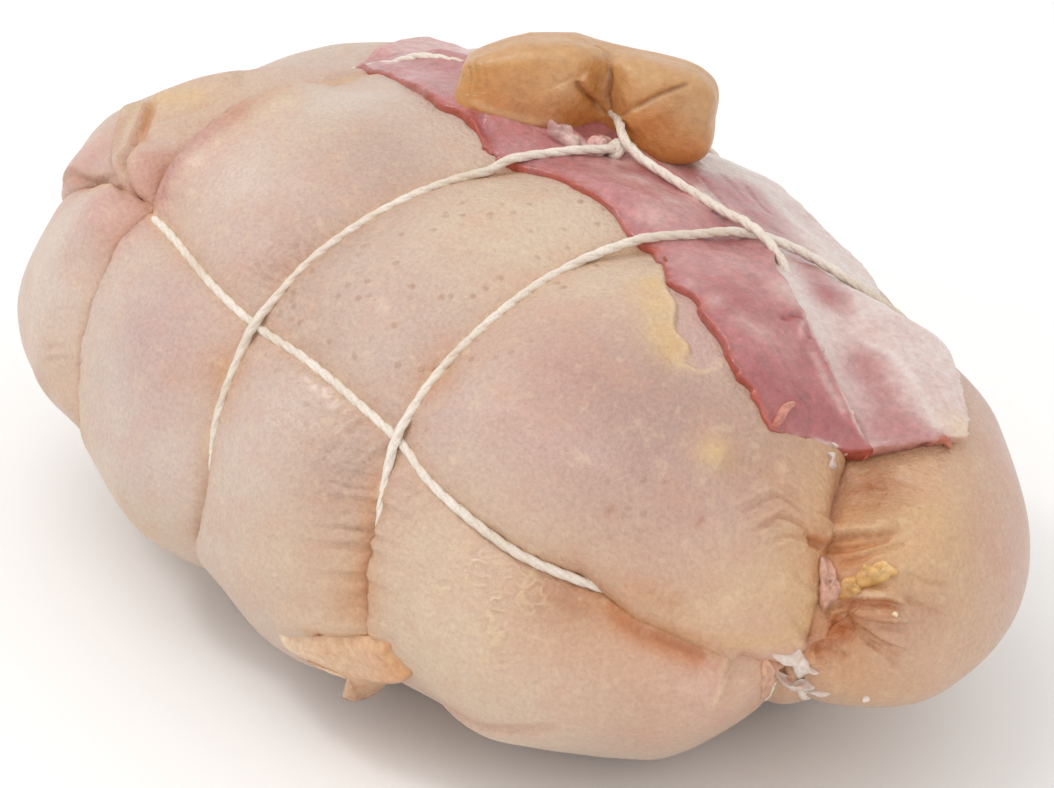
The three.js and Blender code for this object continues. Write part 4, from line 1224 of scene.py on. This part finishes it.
class Slice(Flesh):
    """A slice laid over the skin between two edges, with how far each point lies from them."""

    def __init__(self, edges, across, along_count, ragged, seed, lap=0.0, tuck=False, hollow=0.0,
                 thin_end=0.0):
        left, right = (edge_line(edge, along_count + 1) for edge in edges)
        width = np.linalg.norm(envelope(left) - envelope(right), axis=1)
        length = np.linalg.norm(np.diff(envelope((left + right) / 2), axis=0), axis=1).sum()
        rim = [0, 0.03, 0.1, 0.25, 0.5]            # millimetres in from an edge, up its round corner
        rise = [-SLICE_ROOT / SLICE_THICKNESS, 0.5, 0.8, 0.95, 1]
        margin = np.array(rim) / width[:, None]
        inner = margin[:, -1:] + np.linspace(0, 1, across + 1)[1:-1] * (1 - 2 * margin[:, -1:])
        share = np.concatenate([margin, inner, 1 - margin[:, ::-1]], axis=1)
        height = np.concatenate([rise, np.ones(across - 1), rise[::-1]])
        count = len(height)
        t = np.repeat(np.linspace(0, 1, along_count + 1)[:, None], count, 1)
        near_end = np.minimum(t, 1 - t) * length
        end_round = np.clip(np.interp(near_end, [0, 0.3, 0.8], [0.35, 0.85, 1]), 0, 1)
        end_round *= 1 - thin_end * np.clip(1 - (1 - t) * length / THIN_REACH, 0, 1)

        def torn(place, side, number):
            """Uneven run of a cut edge: slow waves, with a few small nicks."""
            slow = lumps(np.stack([place.ravel(), side.ravel()], -1), 9, seed + number).reshape(t.shape)
            nick = lumps(np.stack([place.ravel(), side.ravel()], -1), 2.3,
                         seed + number + 1).reshape(t.shape)
            return 0.9 * slow + 1.6 * np.clip(nick - 0.25, 0, 1)

        edge_share = 2 * share - 1
        across_share = share + ragged * torn(t * length, share * 40, 0) / width[:, None] * edge_share**5
        along_share = np.clip(t + ragged * torn(share * width.max(), t * 9, 2) / length * (2 * t - 1) ** 9,
                              -0.01, 1.01)
        near_torn = np.clip(1 - (1 - t) * length / HOLLOW_REACH, 0, 1)
        along_share -= hollow / length * np.sin(share * math.pi) * near_torn**2
        at = along_share * along_count
        left, right = (
            np.stack([np.interp(at, np.arange(along_count + 1), edge[:, k]) for k in range(3)], -1)
            for edge in (left, right)
        )
        slice_dirs = unit(left + (right - left) * across_share[..., None]).reshape(-1, 3)
        from_left, from_right = share * width[:, None], (1 - share) * width[:, None]
        lifted = lap * np.exp(-((from_right / LAP_REACH) ** 2))
        from_edge = 0.62 + 0.38 * np.clip(from_left / 4, 0, 1)
        thickness = SLICE_THICKNESS * height[None, :] * end_round * from_edge
        if tuck:
            thin = np.clip(from_left / 6, 0, 1)
            thickness = np.minimum(thickness, TUCK_THICKNESS + thin * (SLICE_THICKNESS - TUCK_THICKNESS))
        top = tied_skin(slice_dirs, 0, bridged=True)[0]
        normals = envelope_normal(slice_dirs)
        top += normals * swelling(top)[:, None]
        raised = top + normals * (thickness + lifted).reshape(-1, 1)
        points = np.concatenate([raised, top - normals * SLICE_ROOT])
        rows_count = along_count + 1
        grid = np.arange(rows_count * count).reshape(rows_count, count)
        a, b, c, d = grid[:-1, :-1], grid[1:, :-1], grid[1:, 1:], grid[:-1, 1:]
        upper_faces = np.stack([a, b, c, a, c, d], -1).reshape(-1, 3)
        lower_faces = upper_faces[:, ::-1] + rows_count * count
        border = np.concatenate([grid[:, 0], grid[-1, 1:], grid[-2::-1, -1], grid[0, -2:0:-1]])
        following = np.roll(border, -1)
        below, below_next = border + rows_count * count, following + rows_count * count
        wall = np.concatenate([np.stack([border, below_next, following], -1),
                               np.stack([border, below, below_next], -1)])
        self.from_left, self.from_right = np.tile(from_left.ravel(), 2), np.tile(from_right.ravel(), 2)
        self.from_end = np.tile(near_end.ravel(), 2)
        self.upper = np.arange(len(points)) < rows_count * count
        super().__init__(points, np.concatenate([upper_faces, lower_faces, wall]))
        if (self.normals[self.upper] * normals).sum(1).mean() < 0:
            self.triangles = self.triangles[:, ::-1]
            self.look()

    def ripple(self, folds, seed, height=0.22):
        """Give the slice its traced folds and cut meat's soft unevenness. Returns the folds' height."""
        folded = self.fold(folds, {name: traced(self, places) for name, (_, _, places) in folds.items()})
        uneven = height * (lumps(self.points, 6, seed) + 0.6 * lumps(self.points, 2.2, seed + 1))
        bead = 0.4 * np.exp(-((self.from_left - 0.7) / 0.5) ** 2) * (0.6 + lumps(self.points, 2.5, seed + 2))
        self.raise_by(np.where(self.upper, folded + uneven + bead, 0))
        return folded


MEAT = tint(184, 124, 123)
HAM = tint(196, 146, 146)
DARK_MEAT = tint(164, 90, 92)
PALE_MEAT = tint(214, 180, 174)
FAT = tint(228, 210, 203)
CUT_RED = tint(172, 74, 50)
BACON_DEPTH = 0.86
LEAN_FOLDS = {
    "torn curl": (.7, -.8, [(782, 320), (790, 313), (804, 317), (817, 318), (828, 328)]),
    "torn curl lip": (1.2, .4, [(786, 309), (798, 308), (812, 310), (826, 316)]),
    "curl": (.8, .5, [(801, 336), (803, 324), (813, 323), (824, 330), (829, 345), (834, 366)]),
    "curl hollow": (.8, -.6, [(808, 338), (816, 334), (822, 345), (826, 362)]),
    "long rise": (2.4, .35, [(806, 350), (820, 384), (836, 414), (850, 438)]),
    "wet skin 1": (1.3, .5, [(688, 192), (700, 200), (716, 212)]),
    "wet skin 2": (1.2, -.5, [(696, 188), (710, 200), (724, 214)]),
    "seam": (1.2, -.5, [(660, 170), (684, 186), (706, 202), (728, 224)]),
    "rolled notch": (1.6, -1.6, [(476, 117), (482, 132), (488, 146), (496, 158)]),
    "rolled notch lip": (1.5, 1.2, [(468, 112), (478, 130), (486, 146), (492, 158)]),
    "ragged edge": (1.4, 1.2, [(549, 124), (566, 131), (578, 139), (588, 146), (602, 139), (613, 146)]),
    "under ragged edge": (1.6, -.9, [(546, 131), (562, 138), (576, 146), (590, 152), (606, 148)]),
}
lean = Slice(LEAN_EDGES, 60, 330, 0.7, 21, lap=LAP_RISE, hollow=2.5, thin_end=0.55)
lean_folded = lean.ripple(LEAN_FOLDS, 61)
# Its pale patches and stripes are partly pale fat and partly painted highlights: most of all along its right
# edge, on the long rise and on the first wet fold.
lean_tone = lean.paint(MEAT, [
    (DARK_MEAT, .6, 6, [(700, 330), (752, 372), (800, 392), (835, 425), (735, 300), (790, 415), (560, 165)]),
    (DARK_MEAT, .4, 4, [(440, 92), (500, 140), (600, 180), (680, 280), (720, 240), (860, 440), (812, 360)]),
    (HAM, .7, 6, [(590, 178), (640, 190), (680, 240), (520, 140), (420, 74), (740, 262), (720, 215),
                  (700, 260)]),
    (PALE_MEAT, .75, 3.6, [(795, 295), (786, 288), (655, 215), (640, 178), (702, 200), (620, 160)]),
    (PALE_MEAT, .5, 2.5, [(690, 285), (740, 320), (715, 300), (760, 330), (600, 165), (670, 200),
                          (570, 150)]),
    (CUT_RED, .5, 3.5, [(872, 450), (764, 424), (650, 252), (484, 140), (470, 116)]),
], [
    (CUT_RED, .8, .5, [(781, 317), (790, 319), (797, 317)]),
    (FAT, .4, .5, [(801, 336), (803, 324), (813, 323), (824, 330), (829, 345)]),
    (FAT, .8, .6, [(806, 306), (819, 328), (831, 356), (842, 388), (854, 414), (866, 440)]),
    (FAT, .7, .6, LEAN_FOLDS["ragged edge"][2]),
    (PALE_MEAT, .6, 1.0, [(812, 350), (828, 384), (844, 414)]),
    (FAT, .6, .5, [(780, 434), (800, 437)]), (FAT, .6, .5, [(815, 440), (835, 446)]),
    (DARK_MEAT, .7, .6, LEAN_FOLDS["seam"][2]),
    (DARK_MEAT, .6, .5, [(640, 165), (668, 176), (700, 190)]),
    (PALE_MEAT, .6, .8, LEAN_FOLDS["wet skin 1"][2]),
])


def cut_face(piece, tone, cut_tone, reach=0.8, strength=0.9):
    """Colour the fresh cut round a slice's border."""
    edge = np.minimum(np.minimum(piece.from_left, piece.from_right * 3), piece.from_end)
    patchy = np.clip(0.75 + 0.5 * lumps(piece.points, 5, 71), 0, 1)
    share = strength * patchy * np.exp(-((edge / reach) ** 2))
    return toned(tone, share, cut_tone)


def darkened(tone, folded, furrow_shade_tone, depth):
    """Tone with painted shade in its furrows, and the whole as deep as raw flesh."""
    return toned(tone, np.clip(-folded / 1.5, 0, 0.8), furrow_shade_tone) * depth


lean_tone = darkened(cut_face(lean, lean_tone, CUT_RED), lean_folded, DARK_MEAT, BACON_DEPTH)
lean_bacon = made_mesh("lean_bacon", lean.points, lean.triangles, {"tone": lean_tone})


def bacon_material(name, blotch_tone, blotch_amount, fibre_amount):
    """Material of cured meat: its fine grain runs along the slice."""
    finish, tree, shader, place, flesh, normal = flesh_material(name, {
        "Blotch tone": blotch_tone, "Blotch amount": blotch_amount, "Blotch scale": 120.0,
        "Grain amount": 0.16,
        "Grain scale": 620.0}, dry=0.46, wet=0.26, bump=0.8, subsurface=0.1, coat=0.35)
    along_slice = tree_node(tree, "ShaderNodeMapping", {"Vector": place,
                                                        "Scale": (0.35, 1.0, 1.0)}).outputs[0]
    fibre = noise(tree, along_slice, 420.0, 4.0, Roughness=0.7)
    fibre_share = product(tree, banded(tree, fibre, 0.36, 0.62), fibre_amount)
    fibrous = mixed(tree, fibre_share, flesh.outputs["Tone"], (1.0, 0.80, 0.76), "OVERLAY")
    tree.links.new(fibrous, shader.inputs["Base Color"])
    tree.links.new(bumped(tree, fibre, 0.55, 0.4, normal), shader.inputs["Normal"])
    return finish


lean_bacon.data.materials.append(bacon_material("cured_lean_meat", (0.86, 0.62, 0.62, 1), 0.6, 0.2))
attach(lean_bacon, "root")
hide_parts("bacon_lean")

# ---- The streaky bacon slice ----
# Bands of white fat and pink lean, laid over the right side with its left edge tucked under the lean slice.
STREAKY_EDGES = (
    [(-16, 72), (2, 72.5), (23, 73), (36, 74), (46, 76), (54, 79), (62, 81.5), (74, 83), (86, 86), (96, 87)],
    [(-16, 44), (5, 42), (22, 40), (38, 39), (50, 39), (63, 42), (78, 47), (90, 50.5), (98, 53.5),
     (101.5, 57)],
)
STREAKY_FOLDS = {
    "crack 1": (.5, -.35, [(700, 175), (716, 196), (738, 218)]),
    "crack 2": (.5, -.35, [(720, 172), (738, 192), (756, 206)]),
    "crack 3": (.5, -.35, [(745, 186), (758, 202), (772, 214)]),
    "fat seam": (1.8, -.5, [(800, 236), (830, 268), (846, 296), (850, 330)]),
    "fat rise": (3.5, .7, [(860, 310), (884, 338), (905, 372), (925, 410)]),
    "lean hollow": (3.0, -.6, [(862, 356), (876, 386), (896, 416)]),
    "edge nick": (1.2, -1.2, [(900, 452), (912, 449), (930, 444)]),
    "edge roll": (1.4, .8, [(884, 440), (904, 444), (926, 436), (944, 434)]),
}
streaky = Slice(STREAKY_EDGES, 66, 230, 0.7, 31, tuck=True)
streaky_folded = streaky.ripple(STREAKY_FOLDS, 81)
streaky_tone = streaky.paint(FAT, [
    (MEAT, .9, 5.5, [(690, 172), (706, 180), (722, 190), (738, 202), (752, 214), (768, 228), (782, 242)]),
    (MEAT, .8, 4.5, [(735, 184), (752, 192), (766, 204), (778, 218)]),
    (DARK_MEAT, .5, 4, [(700, 178), (730, 196), (756, 214), (775, 232)]),
    (MEAT, .95, 4.2, [(806, 262), (816, 274), (826, 286), (800, 250), (832, 298)]),
    (DARK_MEAT, .6, 3.0, [(812, 268), (826, 290)]),
    (MEAT, .8, 4.4, [(862, 356), (872, 374), (884, 394), (896, 414), (908, 430), (880, 420)]),
    (HAM, .6, 4, [(856, 400), (870, 428), (924, 436), (850, 372)]),
    (PALE_MEAT, .6, 6, [(850, 330), (900, 330), (930, 380), (800, 215), (840, 245), (955, 420)]),
    (MEAT, .6, 4.0, [(886, 438), (902, 438), (918, 432)]),
    (CREAM, .6, 3.5, [(960, 424), (964, 436), (956, 444)]),
    (CUT_RED, .7, 1.4, [(944, 440), (932, 443), (920, 450)]),
], [
    (FAT, .8, 1.1, [(868, 342), (890, 352), (908, 372), (926, 404), (938, 428)]),
    (FAT, .8, 2.0, [(770, 196), (796, 222), (822, 246), (846, 276), (866, 306)]),
    *((DARK_MEAT, .5, .4, STREAKY_FOLDS[f"crack {number}"][2]) for number in (1, 2, 3)),
])
streaky_tone = darkened(cut_face(streaky, streaky_tone, tint(196, 120, 100), 0.8, 0.7), streaky_folded,
                        MEAT, BACON_DEPTH)
streaky_bacon = made_mesh("streaky_bacon", streaky.points, streaky.triangles, {"tone": streaky_tone})
streaky_bacon.data.materials.append(bacon_material("streaky_fat_and_lean", (0.95, 0.85, 0.82, 1), 0.22, 0.1))
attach(streaky_bacon, "root")
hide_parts("bacon_streaky")

# ---- The slice at the back ----
# A pink slice of the same bacon behind the folded rind, over the top of the far lobe.
BACK_EDGES = (
    [(-78, 70), (-64, 71.5), (-50, 72.5), (-34, 73), (-22, 72.5)],
    [(-78, 52), (-64, 48), (-50, 46), (-36, 47), (-22, 50)],
)
back = Slice(BACK_EDGES, 40, 96, 0.7, 41, tuck=True)
back_folded = back.ripple({"furrow": (1.4, -.6, [(396, 62), (420, 54), (446, 50)])}, 91)
back_tone = back.paint(tint(206, 160, 158), [
    (PALE_MEAT, .7, 5, [(430, 44), (400, 52), (456, 50)]), (FAT, .6, 3, [(440, 62), (470, 58)]),
    (MEAT, .6, 4, [(384, 58), (412, 64), (450, 74)]),
])
back_tone = darkened(cut_face(back, back_tone, CUT_RED, 0.7, 0.5), back_folded, DARK_MEAT, BACON_DEPTH)
back_bacon = made_mesh("back_bacon", back.points, back.triangles, {"tone": back_tone})
back_bacon.data.materials.append(lean_bacon.data.materials[0])
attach(back_bacon, "root")
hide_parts("bacon_back")

# ---- The folded rind ----
# A thick piece of smoked rind folded in two, with its smooth tan face out. The twine that runs along the top
# pinches its front in the middle, so that creases run out from the knot.
RIND_CENTRE = np.array([-10, 27, 100.5])
RIND_HALF = np.array([26, 12.5, 11])
RIND_HEADING = 41
RIND_DIP = 9
RIND_LEAN = -17
RIND_BOXINESS = 4.6
RIND_CELLS = 100
RIND_TOP = ([-1, -.8, -.55, -.2, .1, .4, .8, 1], [.42, .62, .88, 1.02, .98, .98, .98, .88])
RIND_UNDERSIDE = ([-1, .3, 1], [1, 1, .88])
PINCH_PLACE = 0.12
PINCH_REACH = 0.26


def turned(points, lean_by, dip, heading):
    """Points turned about X, then Y, then Z, by degrees."""
    for axis, degrees in ((0, lean_by), (1, dip), (2, heading)):
        c, s = math.cos(math.radians(degrees)), math.sin(math.radians(degrees))
        u, v = (axis + 1) % 3, (axis + 2) % 3
        turned_points = points.copy()
        turned_points[:, u] = c * points[:, u] - s * points[:, v]
        turned_points[:, v] = s * points[:, u] + c * points[:, v]
        points = turned_points
    return points


rind_dirs, rind_triangles = even_ball(RIND_CELLS)
fill = (np.abs(rind_dirs) ** RIND_BOXINESS).sum(1) ** (-1 / RIND_BOXINESS)
form = rind_dirs * fill[:, None]
x, y, z = form.T.copy()
front = np.clip((0.5 - y) / 1.5, 0, 1)
low = np.clip((1 - z) / 2, 0, 1)
reach = PINCH_REACH * (0.35 + 0.65 * low)
pinch = np.exp(-(((x - PINCH_PLACE) / reach) ** 2))
form[:, 1] = y + front * pinch * (0.18 + 0.50 * low)
form[:, 1] -= 0.16 * front * (1 - pinch) * np.cos(x * math.pi / 2)
below = z * (1 + 0.35 * pinch * front) * np.interp(x, *RIND_UNDERSIDE)
form[:, 2] = np.where(z > 0, z * np.interp(x, *RIND_TOP), below)
form[:, 2] -= 0.10 * np.exp(-(((x - PINCH_PLACE) / 0.12) ** 2)) * np.clip(4 * z, 0, 1) * front
form[:, 0] *= 1 + 0.05 * np.clip(-z, 0, 1)
rind = Flesh(turned(form * RIND_HALF, RIND_LEAN, RIND_DIP, RIND_HEADING) + RIND_CENTRE, rind_triangles)
RIND_FOLDS = {
    "crease up": (.5, -.8, [(611, 118), (608, 96), (611, 78), (607, 58)]),
    "fold to the left": (.5, -.9, [(607, 116), (594, 102), (582, 90), (577, 80)]),
    "left flank": (2.4, .7, [(600, 122), (584, 110), (568, 98), (560, 84)]),
    "tab": (1.3, 1.1, [(592, 92), (586, 84), (582, 76)]),
    "crease to the right": (.5, -.8, [(620, 117), (642, 104), (664, 93), (690, 83)]),
    "right flank": (2.6, .7, [(628, 128), (648, 116), (676, 104)]),
    "above the crease": (2.0, .5, [(624, 104), (644, 92), (668, 82)]),
    "top fold": (.9, -.5, [(611, 62), (606, 50), (596, 42)]),
    "lower lip": (1.2, .4, [(468, 102), (493, 112), (530, 122), (554, 125), (583, 135), (602, 134)]),
    "end line 1": (.4, -.3, [(469, 66), (471, 80), (468, 96)]),
    "end line 2": (.4, -.25, [(474, 62), (478, 78), (475, 96)]),
    "end line 3": (.4, -.2, [(481, 60), (486, 76), (483, 94)]),
}
rind_lines = {name: traced(rind, places) for name, (_, _, places) in RIND_FOLDS.items()}
rind_folded = rind.fold(RIND_FOLDS, rind_lines)
rind.raise_by(rind_folded + 0.3 * lumps(rind.points, 10, 51) + 0.08 * lumps(rind.points, 3.2, 52))
RIND_TAN = tint(201, 144, 80)
RIND_PALE = tint(206, 164, 120)
RIND_ORANGE = tint(198, 118, 52)
RIND_BROWN = tint(128, 76, 42)
# Its pale patches on the top and right end, and its pale lines along the lower lip and below the right
# crease, are painted light; its brown lines in the creases are painted shade, and it is darker low on its
# left end.
rind_tone = rind.paint(RIND_TAN, [
    (RIND_ORANGE, .7, 7, [(500, 112), (530, 120), (640, 130), (690, 150), (560, 128)]),
    (RIND_ORANGE, .4, 6, [(600, 130), (660, 120), (590, 90), (650, 155)]),
    (RIND_PALE, .6, 5, [(705, 115), (690, 100), (560, 84)]), (RIND_BROWN, .3, 4, [(516, 116), (545, 123)]),
    (RIND_PALE, .35, 6, [(640, 86), (520, 90), (610, 80)]),
], [
    (RIND_PALE, .5, .8, [(468, 102), (493, 112), (530, 122), (554, 125), (583, 135)]),
    (RIND_BROWN, .55, .25, RIND_FOLDS["crease up"][2]),
    (RIND_BROWN, .5, .3, RIND_FOLDS["fold to the left"][2]),
    (RIND_BROWN, .5, .3, RIND_FOLDS["crease to the right"][2]),
    (RIND_PALE, .5, .6, [(618, 120), (642, 108), (664, 97), (686, 88)]),
])
lit = np.clip((rind.normals[:, 2] - 0.45) * 2.2, 0, 0.55)
rind_tone = darkened(toned(rind_tone, lit, RIND_PALE), rind_folded, RIND_BROWN, 0.9)
folded_rind = made_mesh("folded_rind_piece", rind.points, rind.triangles, {"tone": rind_tone})
rind_finish, tree, shader, place, _, normal = flesh_material("smoked_rind", {
    "Blotch tone": (0.92, 0.80, 0.66, 1), "Blotch amount": 0.3, "Blotch scale": 110.0, "Grain amount": 0.12,
    "Grain scale": 500.0}, dry=0.55, wet=0.36, bump=0.9, subsurface=0.06, coat=0.15)
pore = tree_node(tree, "ShaderNodeTexVoronoi", {"Vector": place, "Scale": 420.0}).outputs["Distance"]
tree.links.new(bumped(tree, banded(tree, pore, 0.0, 0.35), 0.4, 0.25, normal), shader.inputs["Normal"])
folded_rind.data.materials.append(rind_finish)
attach(folded_rind, "root")
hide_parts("folded_rind")

# ---- The scraps in the cleft and at the edges ----
# Loose bits that boning leaves: yellow fat and a shred of flesh in the cleft, white membrane below it, pink
# shreds under the rind, a flap of skin under the middle, and crumbs. They stick where they lie. Each has its
# thickness and roughness, its tone at the first place and far from it, and its traced outline.
SCRAPS = {
    "skin_flap": [
        (2.6, .12, (240, 210, 178), (222, 164, 112), [
            (277, 636), (301, 649), (322, 663), (343, 675), (352, 679), (346, 688), (346, 695), (362, 697),
            (376, 693), (392, 686), (405, 679), (401, 668), (392, 654), (384, 642), (352, 641), (325, 643),
            (298, 639)]),
    ],
    "yellow_fat": [
        (1.6, .8, (196, 134, 66), (226, 182, 116), [
            (838, 599), (851, 600), (860, 593), (862, 588), (866, 580), (858, 577), (846, 576), (840, 584),
            (836, 592)]),
        (1.9, .8, (208, 152, 84), (222, 178, 112), [
            (856, 590), (866, 588), (878, 583), (884, 575), (876, 567), (864, 570), (856, 578)]),
        (1.7, .8, (212, 160, 94), (230, 190, 126), [
            (870, 585), (883, 582), (891, 578), (898, 573), (891, 566), (883, 562), (873, 565), (868, 574)]),
    ],
    "crumb": [
        (.9, 1, (238, 214, 178), (238, 214, 178), [
            (892, 613), (895, 611), (898, 614), (896, 617), (892, 616)]),
        (.6, 1, (190, 96, 74), (190, 96, 74), [(663, 257), (666, 256), (667, 260), (664, 261)]),
    ],
    "flesh_shred": [
        (3.2, .6, (226, 180, 158), (206, 156, 134), [
            (820, 559), (830, 561), (836, 569), (836, 577), (842, 585), (840, 596), (832, 604), (824, 613),
            (820, 606), (819, 584)]),
        (.9, .6, (226, 178, 146), (214, 160, 128), [
            (766, 660), (774, 668), (778, 686), (772, 700), (764, 700), (762, 680)]),
        (1.0, 1, (188, 108, 88), (200, 130, 104), [
            (942, 438), (947, 436), (951, 441), (948, 447), (941, 446), (935, 444)]),
        (1.0, 1, (206, 124, 106), (222, 160, 140), [
            (772, 424), (780, 408), (788, 403), (794, 404), (786, 414), (779, 426)]),
    ],
    "membrane": [
        (.8, .7, (232, 212, 198), (240, 228, 220), [
            (771, 655), (781, 663), (791, 665), (799, 678), (805, 675), (819, 673), (811, 667), (805, 657),
            (799, 649), (788, 656)]),
        (.7, .7, (226, 192, 174), (238, 224, 214), [
            (775, 673), (793, 684), (807, 684), (812, 690), (801, 693), (786, 688)]),
        (.6, 1, (236, 220, 210), (236, 220, 210), [
            (801, 692), (812, 694), (828, 694), (824, 699), (810, 699)]),
        (.6, 1, (232, 214, 204), (232, 214, 204), [(858, 700), (866, 697), (870, 700), (863, 703)]),
        (.7, 1, (230, 210, 200), (230, 210, 200), [
            (826, 451), (832, 453), (835, 466), (831, 465), (828, 458)]),
        (.6, 1, (230, 210, 200), (230, 210, 200), [(829, 442), (835, 443), (839, 447), (834, 447)]),
        (1.5, 1, (214, 160, 150), (226, 196, 186), [
            (586, 141), (594, 137), (604, 138), (612, 142), (610, 149), (599, 151), (590, 149)]),
        (1.5, 1, (206, 146, 140), (236, 214, 204), [
            (546, 121), (556, 125), (567, 126), (574, 133), (581, 142), (575, 147), (568, 141), (560, 137),
            (551, 132)]),
    ],
}
SCRAP_ROOT = 0.7
CARRIER_DEPTH = 2.5 * MM      # how far behind the foremost point a scrap may still lie
FLAP_FORWARD = 0.5 * MM
SCRAP_RINGS = 9
covers = [skin, lean, streaky, rind]


def carrier(place):
    """The piece nearest the camera at a traced place, and the point on it."""
    found = []
    for cover in covers:
        off = np.linalg.norm(cover.pixels - place, axis=1)
        near = np.flatnonzero(off < PICK_PIXELS)
        if len(near):
            front = near[cover.depths[near] < cover.depths[near].min() + CARRIER_DEPTH]
            best = front[np.argmin(off[front])]
            found.append((cover.depths[best], cover.points[best], cover.normals[best]))
    if not found:                       # it hangs past the edge of the roll
        best = np.argmin(np.linalg.norm(skin.pixels - place, axis=1))
        point = in_view(place, skin.depths[best] - FLAP_FORWARD)
        point[2] = max(point[2], FLOOR + 1)
        return point, skin.normals[best]
    return min(found, key=lambda item: item[0])[1:]


def in_view(place, depth):
    """Point of the roll's millimetres at a pixel and a depth from the camera."""
    scale = LENS / SENSOR_WIDTH * PHOTO_SIZE[0] / depth
    across, down = np.array(place) - np.array(PHOTO_SIZE) / 2
    aside = (across * view_right - down * view_up) / scale
    return (camera_place - depth * towards_camera + aside) / MM - MIDDLE


def scrap_body(outline, normals, thickness, rough, seed):
    """Thin uneven lump over a closed outline on a surface, with its root below the surface."""
    facing = unit(normals.mean(0)[None, :])[0]
    edge = smooth_line(outline, 6, closed=True)
    ragged = 0.35 * lumps(edge, 1.2, seed)
    middle = edge.mean(0)
    rings = np.linspace(0, 1, SCRAP_RINGS + 1)[1:]
    layers = []
    for r in rings:
        ring = middle + (edge - middle) * r
        ring = ring + unit(edge - middle) * (ragged * r)[:, None]
        bump = 1 + rough * (0.5 * lumps(ring, 1.6, seed + 1) + 0.35 * lumps(ring, 0.8, seed + 2))
        layers.append(ring + facing * (thickness * math.sqrt(max(1 - r**4, 0)) * bump)[:, None])
    count = len(edge)
    top = middle + facing * thickness
    bottom_ring = layers[-1] - facing * SCRAP_ROOT
    bottom = middle - facing * SCRAP_ROOT
    points = np.concatenate([[top], *layers, bottom_ring, [bottom]])
    i = np.arange(count)
    following = (i + 1) % count
    triangles = [np.stack([0 * i, 1 + i, 1 + following], -1)]
    for k in range(SCRAP_RINGS):
        near, far = 1 + k * count, 1 + (k + 1) * count
        triangles.append(np.stack([near + i, far + i, far + following], -1))
        triangles.append(np.stack([near + i, far + following, near + following], -1))
    last = 1 + SCRAP_RINGS * count
    triangles.append(np.stack([last + i, 0 * i + last + count, last + following], -1))
    triangles = np.concatenate(triangles)
    volume = (np.cross(points[triangles[:, 1]], points[triangles[:, 2]]) * points[triangles[:, 0]]).sum()
    return points, triangles if volume > 0 else triangles[:, ::-1]


scrap_finish = flesh_material("fat_and_membrane", {
    "Blotch tone": (0.9, 0.74, 0.66, 1), "Blotch amount": 0.6, "Blotch scale": 300.0, "Grain amount": 0.2,
    "Grain scale": 700.0}, dry=0.45, wet=0.25, bump=0.8, subsurface=0.12, coat=0.3)[0]
for name, bodies in SCRAPS.items():
    points, triangles, tones = [], [], []
    for number, (thickness, rough, tone, far_tone, outline) in enumerate(bodies):
        found = [carrier(place) for place in outline]
        body, faces = scrap_body(np.array([point for point, _ in found]), np.array([n for _, n in found]),
                                 thickness, rough, 101 + number)
        triangles.append(faces + sum(map(len, points)))
        points.append(body)
        way = np.linalg.norm(body - found[0][0], axis=1)
        share = (way / way.max())[:, None]
        depth = 0.85 + 0.25 * rough * lumps(body, 1.5, 7)
        tones.append(np.clip((tint(*tone) * (1 - share) + tint(*far_tone) * share) * depth[:, None], 0, 1))
    scrap = made_mesh(name + "_scraps", np.concatenate(points), np.concatenate(triangles),
                      {"tone": np.concatenate(tones)})
    scrap.data.materials.append(scrap_finish)
    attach(scrap, "root")
